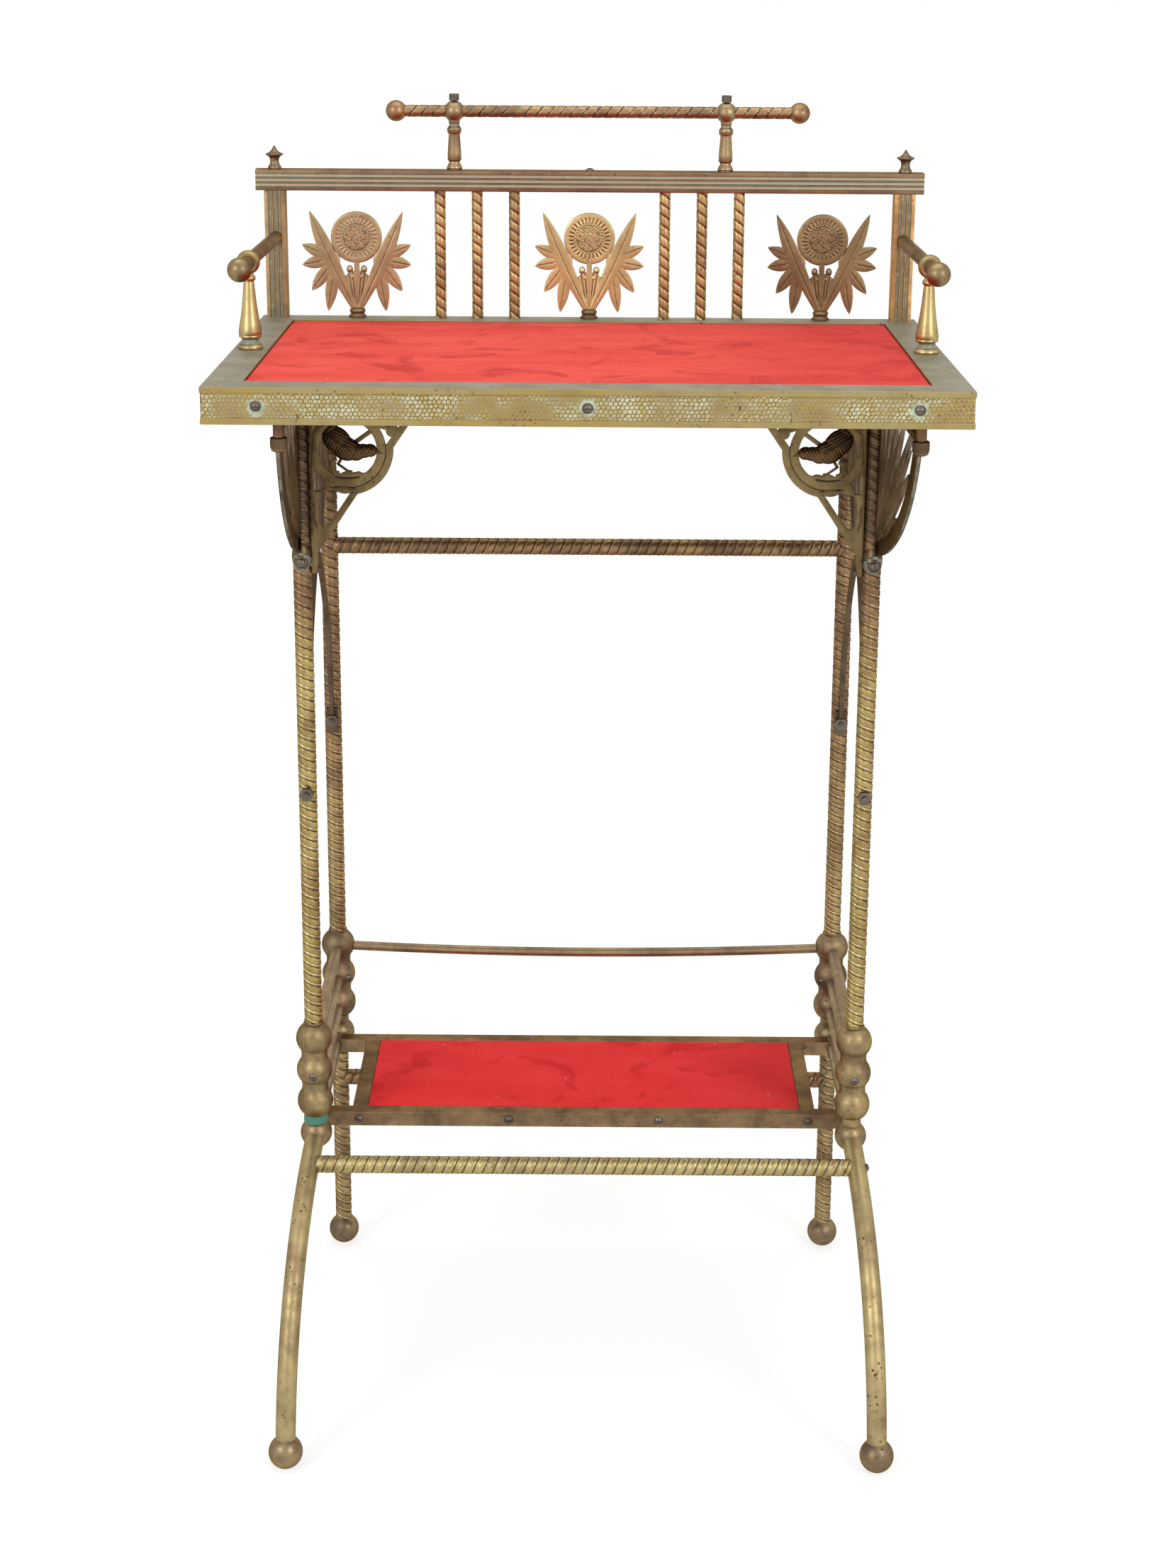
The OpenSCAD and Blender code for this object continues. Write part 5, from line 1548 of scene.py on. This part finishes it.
def head_surface(out, turn):
    """Height and mask on the flower's face, at a distance in mm and an angle from its middle."""
    if out > CUSHION_R:
        share = (turn / (2 * math.pi) * RAYS) % 1.0 - 0.5
        across = abs(share) * 2 * math.pi / RAYS * out
        ray = min(1.0, max(0.0, 1.55 - across / (0.36 + 0.055 * (out - RAY_IN))))
        ray *= min(1.0, max(0.0, (RAY_OUT - out) / 0.8)) * min(1.0, max(0.0, (out - RAY_IN) / 0.5))
        short = (turn / (2 * math.pi) * RAYS + 0.5) % 1.0 - 0.5
        dash = min(1.0, max(0.0, 1.5 - abs(short) * 2 * math.pi / RAYS * out / 0.3))
        dash *= min(1.0, max(0.0, (14.6 - out) / 0.5)) * min(1.0, max(0.0, (out - CUSHION_R) / 0.4))
        cut = max(ray, dash)
        rim = min(1.0, max(0.0, (RIM_R - out) / 1.2))
        return 1.9 + 0.35 * rim - 0.55 * cut, cut
    cells, _ = noise.voronoi(Vector((out * math.cos(turn), out * math.sin(turn), 0)) * 0.62,
                             distance_metric="DISTANCE", exponent=2.5)
    dot = min(1.0, max(0.0, (cells[1] - cells[0]) * 2.4))
    edge = min(1.0, max(0.0, (CUSHION_R - out) / 0.9))
    return 1.75 + 0.45 * edge + 0.25 * dot * edge, 0.62 - 0.9 * dot if out < CUSHION_R - 0.8 else 0.5


def flower_head():
    """A flat disc: a plain rim, a ring of engraved rays, and a stippled middle."""
    rings = [0.6 + 0.45 * step for step in range(51)]
    profile = [(0, 1.75), (rings[0], 1.75)] + [(out, 1.75) for out in rings[1:]]
    profile += [(RIM_R, 1.4), (RIM_R, -1.3), (RIM_R - 0.5, -1.75), (0, -1.75)]
    head = turned(profile, (0, 0, 0), steps=RAYS * 8, angle=60)
    seams = []
    for vertex in head.data.vertices:
        out = math.hypot(vertex.co.x, vertex.co.y) / MM
        cut = 0.0
        if vertex.co.z > 1.5 * MM:
            up, cut = head_surface(out, math.atan2(vertex.co.y, vertex.co.x))
            vertex.co.z = up * MM
        seams.append(cut if out < RIM_R - 0.6 else -0.5)
    layer = head.data.attributes.new("seam", "FLOAT", "POINT")
    layer.data.foreach_set("value", seams)
    head.rotation_euler = (math.pi / 2, 0, 0)
    head.location = (0, 0, 74 * MM)
    return settle(head)


def with_seam(piece, value=0.0):
    set_seam(piece, lambda co: value)
    return piece


def bud(across, up, radius, deep):
    bpy.ops.mesh.primitive_uv_sphere_add(segments=20, ring_count=12, radius=radius * MM,
                                         location=(across * MM, -0.4 * MM, up * MM))
    knob = bpy.context.object
    knob.scale = (1, deep, 1.25)
    settle(knob)
    bpy.ops.object.shade_smooth_by_angle(angle=math.radians(60))
    return with_seam(knob)


SMALL_LEAVES = (((22, 55), (50.5, 67), 11.0), ((23, 53.5), (50.5, 48.5), 11.5),
                ((22, 51.5), (42, 24.5), 11.5), ((20, 50.5), (27, 5.5), 11.5))


def fluted_heart():
    """The closed V of stalks between the two long leaves: upright flutes that spread upwards."""
    bpy.ops.mesh.primitive_grid_add(x_subdivisions=48, y_subdivisions=16, size=2)
    heart = bpy.context.object
    seams = []
    for vertex in heart.data.vertices:
        off, at = vertex.co.x, (vertex.co.y + 1) / 2
        top = 36 + 7 * (1 - off * off)
        up = 8 + (top - 8) * at
        half = 3.2 + 0.33 * (up - 8)
        flute = (0.5 + 0.5 * math.cos(off * 3.5 * 2 * math.pi)) ** 2
        vertex.co = (off * half * MM, -BACK - (0.9 - 0.75 * flute) * MM, up * MM)
        seams.append(0.6 * flute)
    layer = heart.data.attributes.new("seam", "FLOAT", "POINT")
    layer.data.foreach_set("value", seams)
    return close_back(heart, BACK - 0.6 * MM)


def one_flower():
    parts = [flower_head(), with_seam(flat_strap((0, 7), (0, 53), 5.0, front=BACK + 0.5 * MM,
                                                 back=BACK - 0.4 * MM, edge=0.9)), fluted_heart()]
    # flat backs that lie in one plane would fight, so each leaf is a little thinner than the last
    backs = [BACK - (0.06 + 0.05 * count) * MM for count in range(10)]
    for side in (-1, 1):
        parts.append(relief_leaf((side * 2, 7), (side * 43, 97.5), 13.5, lift=0.35, bend=side * -1.2,
                                 fullest=0.58, stalk=0.40, veins=8, vein_cut=0.4, steps=56, across=20, front=0.8,
                                 branches=0.25, back=backs.pop()))
        for base, tip, width in SMALL_LEAVES:
            parts.append(relief_leaf((side * base[0], base[1]), (side * tip[0], tip[1]), width, lift=0.35,
                                     fullest=0.5, stalk=0.62, veins=5, vein_cut=0.35, steps=28, across=14,
                                     front=0.4, branches=0.3, back=backs.pop()))
        parts.append(arc_band((side * 24.5, 53), 0.2, 9.2, 0, 360, front=BACK + 0.5 * MM,
                              back=BACK + 0.1 * MM, steps=36, edge=0.1))
        set_seam(parts[-1], rim_line((side * 24.5, 53), 8.4))
        for across, up, radius in ((6.6, 44.5, 3.0), (4.4, 37.5, 2.6)):
            parts.append(bud(side * across, up, radius, 0.95))
    return join(parts)


def rim_line(centre, radius):
    """A mask with a pale ring round a centre, as at the edge of a raised boss."""
    return lambda co: -0.8 if abs(math.hypot(co.x / MM - centre[0], co.z / MM - centre[1]) - radius) < 0.9 else 0.0


flower = one_flower()
flower.location = (-flower_x, rail_y, table_z)
settle(flower)
for node, finish, across in (("flower_middle", middle_bronze, 0.0), ("flower_right", dark_flower, flower_x)):
    twin = copy_of(flower, move=(across + flower_x, 0, 0))
    finish_piece(twin, node + "_cast", finish, [node])
finish_piece(flower, "flower_left_cast", flower_bronze, ["flower_left"])
print("flower vertices:", len(flower.data.vertices))

# %% [markdown]
# ## Bird brackets
# Under the table's front corners a flat brass ring hangs between straps, with a small bird sitting on
# a branch inside it. The plate is a set of overlapping outlines that Boolean modifiers melt into one
# casting, and its groove is cut the same way. The bird is easier to build up than to carve: a few
# flattened balls are melted together by a voxel remesh, and feather tips are then pressed into it.
# The right bracket is modelled, and the left one is its mirror image.

# %% Plates of a casting
PLATE = 2.0 * MM


def outline_plate(points, front=PLATE, back=PLATE):
    """A flat plate with corners (across, up) in mm."""
    plate = outline_face([(across * MM, up * MM) for across, up in points])
    for vertex in plate.data.vertices:
        vertex.co.y = -front
    return extrude_by(plate, (0, front + back, 0))


def disc_points(centre, radius, start=0, end=360, steps=72):
    """Points on an arc; a whole circle leaves out the last point."""
    count = steps if end - start >= 360 else steps + 1
    angles = [math.radians(start + (end - start) * step / steps) for step in range(count)]
    return [(centre[0] + radius * math.cos(a), centre[1] + radius * math.sin(a)) for a in angles]


def sector_points(centre, inner, outer, start, end, steps=40):
    return disc_points(centre, outer, start, end, steps) + disc_points(centre, inner, start, end, steps)[::-1]


def strap_points(start, end, width):
    start, end = Vector(start), Vector(end)
    side = Vector((start.y - end.y, end.x - start.x)).normalized() * width / 2
    return [tuple(point) for point in (start - side, end - side, end + side, start + side)]


def combine(piece, tool, operation):
    """Adds the tool to the piece, or cuts it away, and removes the tool."""
    melt = piece.modifiers.new("melt", "BOOLEAN")
    melt.operation = operation
    melt.solver = "EXACT"
    melt.object = tool
    only(piece)
    bpy.ops.object.modifier_apply(modifier="melt")
    only(tool)
    bpy.ops.object.delete()
    return piece


def melted_plate(outlines, holes=(), front=PLATE, back=PLATE):
    plate = outline_plate(outlines[0], front, back)
    for points in outlines[1:]:
        combine(plate, outline_plate(points, front, back), "UNION")
    for points in holes:
        combine(plate, outline_plate(points, front + MM, back + MM), "DIFFERENCE")
    return plate


def soften(plate, width):
    """Clears the slivers that Boolean cuts leave, and rounds the edges."""
    only(plate)
    bpy.ops.object.mode_set(mode="EDIT")
    bpy.ops.mesh.select_all(action="SELECT")
    bpy.ops.mesh.remove_doubles(threshold=0.00012)
    bpy.ops.mesh.dissolve_limited(angle_limit=math.radians(4))
    bpy.ops.object.mode_set(mode="OBJECT")
    bevel_all(plate, width, segments=2, angle=45)
    bpy.ops.object.shade_smooth_by_angle(angle=math.radians(40))
    return plate


# %% The bracket's plate
leg_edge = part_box("front_leg_right")[0][0] / MM
bracket_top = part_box("bird_bracket_right")[1][2] / MM
RING_R = 32.5
RING_IN = 25.2
BAND_R = 39.3
RING_DROP = 55.5
SCREW_Z = 775.0
ring_x, ring_z = leg_edge - RING_R, bracket_top - RING_DROP
GROOVE = 0.9 * MM

# every point below is in mm round the ring's middle
TAB_LOW = SCREW_Z - 11 - ring_z
WEB = [(11.6, -26), (19, -25), (24, -36), (32.5, -37), (32.5, TAB_LOW), (27.3, TAB_LOW), (27, -91), (23.2, -85.6),
       (11.6, -68.6), (-9.7, -36.2), (-1.7, -37.9), (16.2, -64.6), (22.0, -68.0), (25.4, -65.0), (26.4, -58),
       (26.6, -49.8), (26.0, -41.6), (23.2, -37.4), (16.7, -35.2), (12.0, -34.6)]
BRANCH = [(-20, -17), (-17, -19.5), (-13, -20.8), (-9.5, -19.2), (-4, -20.2), (0.5, -18.8), (3.5, -19.8), (7, -21.4),
          (11, -21.2), (15, -22.4), (8, -29), (-10, -29), (-18, -24)]
SLOT = [(-9.5, -22.6), (-5, -23.4), (0, -23.7), (5, -23.5), (10.5, -22.8), (11.6, -23.4), (10.5, -24.4), (5, -25.2),
        (0, -25.4), (-5, -25.1), (-9.8, -24.2), (-10.6, -23.4)]


def bird_plate():
    lean = 0.69 * (RING_DROP - 3)
    outlines = [disc_points((0, 0), RING_R + 0.4, steps=96),
                sector_points((0, 0), RING_IN, BAND_R, 172, 262),
                [(-39.5, 2), (-39.5 - lean, RING_DROP), (-33.5 - lean, RING_DROP), (-33.2, 4.5)],
                [(-76, RING_DROP - 5), (-76, RING_DROP), (32.5, RING_DROP), (32.5, RING_DROP - 5)],
                [(29.6, -38), (32.5, -38), (32.5, RING_DROP), (29.6, RING_DROP)],
                disc_points((-38.5, 16.5), 5.4, steps=32),
                strap_points((-38, 17.5), (-24, 21.5), 3.4),
                WEB]
    plate = melted_plate(outlines, [disc_points((0, 0), RING_IN, steps=96)])
    inner = [BRANCH, sector_points((8.2, -14.6), 4.4, 7.6, -100, 80, 24), strap_points((-26, 20), (-5, 5), 3.6)]
    for points in inner:
        combine(plate, outline_plate(points, PLATE - 0.1 * MM, PLATE - 0.1 * MM), "UNION")
    cuts = [sector_points((0, 0), 32.5, 33.3, 166, 266, 48), SLOT]
    for points in cuts:
        cutter = outline_plate(points, PLATE + MM, 0)
        for vertex in cutter.data.vertices:
            vertex.co.y = -PLATE + GROOVE if vertex.co.y > -PLATE else -PLATE - MM
        combine(plate, cutter, "DIFFERENCE")
    soften(plate, 0.35 * MM)
    set_seam(plate, lambda co: 0.8 if abs(co.y + PLATE - GROOVE) < 0.2 * MM else 0.0)
    return plate


# %% A small bird on a branch
FEATHER = 2.6


def feather_cut(across, up):
    """Overlapping rounded feather tips: 1 in the line round a tip and below 0 on a painted highlight under it."""
    row = math.floor(up / FEATHER)
    shift = 0.5 * FEATHER if row % 2 else 0.0
    local = ((across + shift) / FEATHER) % 1.0 - 0.5
    rise = up / FEATHER - row
    edge = rise - (0.3 + 1.7 * local * local)
    return max(0.0, 1 - abs(edge) * 4.5) if edge > -0.2 else -0.6 * max(0.0, 1 - abs(edge + 0.42) * 4)


# middle (across, deep, up), half sizes (along, deep, across) and turn, in mm and degrees
BIRD = (((-19.4, -2.2, -0.4), (6.4, 4.6, 5.8), 0), ((-14.0, -2.2, -0.8), (6.8, 4.6, 6.2), 20),
        ((-7.0, -2.4, -1.6), (8.5, 5.2, 7.8), 18), ((1.5, -2.6, 1.5), (12.5, 6.0, 10.5), 30),
        ((8.5, -2.6, 8.5), (14, 5.8, 11.0), 42), ((17, -2.0, 20), (15, 4.6, 8.0), 50),
        ((25, -1.2, 33), (14, 3.0, 5.0), 58))


def ball_at(place, halves, turn):
    bpy.ops.mesh.primitive_uv_sphere_add(segments=32, ring_count=20, radius=MM,
                                         location=[value * MM for value in place],
                                         rotation=(0, math.radians(-turn), 0))
    ball = bpy.context.object
    ball.scale = halves
    return settle(ball)


def make_bird():
    """The bird, in mm round the ring's middle; it looks towards -X."""
    body = join([ball_at(*row) for row in BIRD])
    grown = body.modifiers.new("grown", "REMESH")
    grown.mode = "VOXEL"
    grown.voxel_size = 0.55 * MM
    only(body)
    bpy.ops.object.modifier_apply(modifier="grown")
    smooth = body.modifiers.new("smooth", "SMOOTH")
    smooth.iterations = 6
    bpy.ops.object.modifier_apply(modifier="smooth")
    seams = []
    slant = math.radians(28)
    for vertex in body.data.vertices:
        u, v = vertex.co.x / MM, vertex.co.z / MM
        along = u * math.cos(slant) + v * math.sin(slant)
        off = v * math.cos(slant) - u * math.sin(slant)
        wing = off > 2.5 + 0.05 * along and along > -4
        cut = 0.0
        if vertex.co.y < -1.2 * MM:
            cut = feather_cut(off * 1.0, -along) if not wing else 0.9 * (0.5 + 0.5 * math.cos(off * 2.6)) ** 3
            if abs(off - 2.5 - 0.05 * along) < 0.5 and along > -4:
                cut = 1.0
            vertex.co.y += 0.6 * MM * max(0.0, cut) - (0.6 * MM if wing else 0.0)
        if math.hypot(u, v) > RING_IN - 0.8 and v > -12 and u > -10:
            vertex.co.y = max(vertex.co.y, 0.5 * MM - PLATE)
        vertex.co.y = min(vertex.co.y, PLATE - 0.2 * MM)
        seams.append(max(-0.8, min(0.6, cut)))
    layer = body.data.attributes.get("seam") or body.data.attributes.new("seam", "FLOAT", "POINT")
    layer.data.foreach_set("value", seams)
    only(body)
    bpy.ops.object.shade_smooth_by_angle(angle=math.radians(70))
    bpy.ops.mesh.primitive_cone_add(vertices=16, radius1=2.7 * MM, radius2=0.15 * MM, depth=10.5 * MM,
                                    location=(-26.2 * MM, -2.0 * MM, -1.8 * MM),
                                    rotation=(0, math.radians(-108), 0))
    beak = settle(bpy.context.object)
    only(beak)
    bpy.ops.object.shade_smooth_by_angle(angle=math.radians(60))
    parts = [body, with_seam(beak), with_seam(ball_at((-21.5, -6.3, 1.4), (1.0, 0.7, 1.0), 0), 0.6),
             with_seam(ball_at((-21.5, -6.6, 1.4), (0.5, 0.7, 0.5), 0), -0.8)]
    for start, end, width in (((5.5, -8.5), (8.5, -13.0), 2.6), ((8.5, -12.5), (0.2, -18.5), 1.7),
                              ((0.2, -18.5), (-4.0, -19.3), 1.5)):
        parts.append(with_seam(outline_plate(strap_points(start, end, width), 1.8 * MM, 1.2 * MM)))
    return join(parts)


def bracket_leaves():
    return [relief_leaf((15, -33.0), (-8.5, -34.8), 6.2, lift=0.9, bend=1.2, veins=4, streaks=True, front=0.5),
            relief_leaf((30.2, -44), (27.4, -70), 4.0, lift=0.5, veins=4, streaks=True, front=0.4)]


def set_finishes(piece, finishes, counts):
    """Gives the first faces of a joined piece the first finish, and the rest the second."""
    piece.data.materials.clear()
    for finish in finishes:
        piece.data.materials.append(finish)
    for face in piece.data.polygons:
        face.material_index = 0 if face.index < counts else 1


bracket_y = middle("bird_bracket_right").y
plain = join([bird_plate()] + bracket_leaves())
plain_faces = len(plain.data.polygons)
right = join([plain, make_bird()])
right.location = (ring_x * MM, bracket_y, ring_z * MM)
settle(right)
set_finishes(right, (ring_brass, bird_bronze), plain_faces)
left = copy_of(right, mirror=0)
finish_piece(right, "bird_bracket_right_cast", None, ["bird_bracket_right"])
finish_piece(left, "bird_bracket_left_cast", None, ["bird_bracket_left"])
print("bird bracket vertices:", len(right.data.vertices), "plate faces:", plain_faces)

# %% [markdown]
# ## Plume brackets
# From each front leg a quarter ring runs forward to a hanger under the board. Long feathers fan out
# from its foot, and daylight shows between their tips. Both faces are modelled, since the stand is
# seen from both sides. Each bracket is built flat, with heights below the board, and then turned into
# its place at its leg.

# %% One plume bracket
HUB = (-19, 9)
LUG = (141, -23)
FAN_FOOT = (6, -131)
PLUME_TURNS = {"left": 0, "right": 8}
UP_TIPS = ((13, -3), (30, -3), (48, -4), (66, -6), (84, -9))


def both_faces(piece):
    """The relief on one face, and its mirror image on the other."""
    return join([piece, copy_of(piece, mirror=1)])


def plume_tips():
    """The feather tips: the first ones end under the board, and the others near the rim."""
    tips = list(UP_TIPS)
    for degrees in range(-11, -71, -8):
        angle = math.radians(degrees)
        reach = 130 if degrees % 3 else 137
        tips.append((HUB[0] + reach * math.cos(angle), HUB[1] + reach * math.sin(angle)))
    return tips


def plume_feathers():
    feathers = []
    for count, tip in enumerate(plume_tips()):
        run = math.hypot(tip[0] - FAN_FOOT[0], tip[1] - FAN_FOOT[1])
        feathers.append(relief_leaf(FAN_FOOT, tip, 6.5 + 0.034 * run, lift=0.8, bend=-2.2, fullest=0.42,
                                    stalk=0.35, veins=4, vein_cut=0.5, steps=34, across=24,
                                    streaks=True, front=0.3 * (count % 3) - 0.5, back=0.0))
    return join(feathers)


def plume_rim():
    rim = arc_band(HUB, 141, 155, -83, -4, front=2.0 * MM, back=2.0 * MM, steps=64, edge=1.0, crown=0.9)
    reach = [math.hypot(vertex.co.x / MM - HUB[0], vertex.co.z / MM - HUB[1]) for vertex in rim.data.vertices]
    layer = rim.data.attributes.new("seam", "FLOAT", "POINT")
    layer.data.foreach_set("value", [-0.9 if out > 154.5 else (0.25 if out > 147 else 0.5) for out in reach])
    return rim


def plume_post():
    """The plate beside the leg, with the curl where the rim comes back to it."""
    points = [(2, -143), (13, -143.5), (21, -141), (25, -134), (21, -126), (15.5, -112), (13.5, -90), (13, 0),
              (7, 0), (7, -112), (2, -118)]
    post = bevel_all(outline_plate(points), 0.6 * MM, 2)
    return with_seam(post)


def leg_sleeve():
    """A rounded boss round the leg, flat under its screw and crusted round it."""
    sleeve = ball_at((0, 0, -149), (11.4, 8.95, 16.5), 0)
    for vertex in sleeve.data.vertices:
        vertex.co.x = min(vertex.co.x, 10.7 * MM)
    set_seam(sleeve, lambda co: 0.78 if co.x > 0 and 5.2 < math.hypot(co.y, co.z + 153 * MM) / MM < 9.5 else -0.2)
    return tidy_mesh(sleeve, 60)


def lug_boss():
    profile = [(0, 4.5), (6.1, 4.5), (7, 3.8), (7, -3.4), (6.4, -4.5), (0, -4.5)]
    return with_seam(turned(profile, (LUG[0] * MM, 0, LUG[1] * MM)), 0.35)


def hanger():
    foot = LUG[1] - 4.5
    profile = [(0, 0), (4.5, 0), (4.5, foot), (6.4, foot), (6.4, foot - 0.9), (5.6, foot - 2.2), (3.6, foot - 3.1),
               (0, foot - 3.4)]
    return with_seam(turned(profile, (LUG[0] * MM, 0, 0)))


def at_leg(piece, side):
    sign = -1 if side == "left" else 1
    leg = middle("front_leg_" + side)
    piece.rotation_euler = (0, 0, math.radians(sign * PLUME_TURNS[side] - 90))
    piece.location = (leg.x, leg.y, bracket_top * MM)
    return settle(piece)


plate = both_faces(join([plume_rim(), plume_feathers()]))
plate = join([plate, with_seam(flat_strap(LUG, (14, -4), 6.5)), plume_post()])
PLATE_SHIFT = 2.2 * MM
hangers = []
for side, outward in (("left", -PLATE_SHIFT), ("right", PLATE_SHIFT)):
    node = "plume_bracket_" + side
    plume = join([copy_of(plate, move=(0, outward, 0)), leg_sleeve(), lug_boss()])
    finish_piece(at_leg(plume, side), node + "_cast", feather_bronze, [node])
    hangers.append(at_leg(hanger(), side))
only(plate)
bpy.ops.object.delete()
finish_piece(join(hangers), "plume_hangers_turned", hanger_copper, ["plume_hangers"])
print("plume brackets: 2, feathers in each:", len(plume_tips()))

# %% [markdown]
# ## Relief on the side panels
# The pierced side panels keep their measured solids. On both faces they get a round bead along the
# pointed arch and a fan of veined leaves between the openings.

# %% Leaves and beads of the panels
PANEL_LEAVES = (((7, 13), (23, 129), 8.5), ((17.5, 12), (67, 103), 9.0), ((25, 5), (88, 60), 8.0))
panel_half = (middle("rear_leg_left").y - middle("front_leg_left").y - size("front_leg_left").y) / 2 / MM
ARCH_RISE = 200
ARCH_RIB = 9
arch_offset = (ARCH_RISE ** 2 - panel_half ** 2) / (2 * panel_half)
nut_height = middle("panel_bolts").z / MM


def panel_relief():
    half_angle = math.degrees(math.acos(arch_offset / (arch_offset + panel_half)))
    arch_r = arch_offset + panel_half
    parts = [arc_band((-arch_offset, 0), arch_r - ARCH_RIB + 2, arch_r - 2, 7, half_angle, front=2.6 * MM,
                      back=0, steps=40, edge=0.8, crown=0.7)]
    with_seam(parts[0], -0.3)
    for base, tip, width in PANEL_LEAVES:
        leaf = relief_leaf((base[0], base[1] + ARCH_RISE), (tip[0], tip[1] + ARCH_RISE), width, lift=1.0,
                           fullest=0.45, stalk=0.3, veins=4, vein_cut=0.5, steps=30, across=20, streaks=True,
                           back=0.0)
        parts.append(leaf)
    half = join(parts)
    return both_faces(join([half, copy_of(half, mirror=0)]))


relief = panel_relief()
panel_middle = (middle("rear_leg_left").y + middle("front_leg_left").y) / 2
for side in ("left", "right"):
    panel = copy_of(relief, turn=math.pi / 2,
                    move=(middle("front_leg_" + side).x, panel_middle, nut_height * MM))
    settle(panel)
    panel.name = panel.data.name = f"side_panel_{side}_relief"
    panel.data.materials.clear()
    panel.data.materials.append(panel_bronze)
    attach(panel, "stand")
    pieces_made.append(panel.name)
only(relief)
bpy.ops.object.delete()
print("panel relief: 2, leaves on each face:", 2 * len(PANEL_LEAVES))

# %% [markdown]
# ## Finishes for the rest
# The measured solids that are already the right shape, such as screws, bolts and boards, stay as they
# are and take the finish of their metal or wood.

# %% Dress what is left
PLAIN = {"apron_screws": dark_steel, "clamp_screws": dark_steel, "bracket_screws": dark_steel,
         "panel_bolts": dark_steel, "frame_screws": dark_steel, "top_board": board_wood,
         "shelf_board": board_wood, "arm_tube_left": arm_brass, "arm_tube_right": arm_brass,
         "side_panel_left": panel_bronze, "side_panel_right": panel_bronze}


def dress(node, material):
    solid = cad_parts[node]
    for slot in solid.material_slots:
        slot.material = material
    if not solid.material_slots:
        solid.data.materials.append(material)


for node, material in PLAIN.items():
    dress(node, material)
print("pieces:", len(pieces_made), "dressed solids:", len(PLAIN))
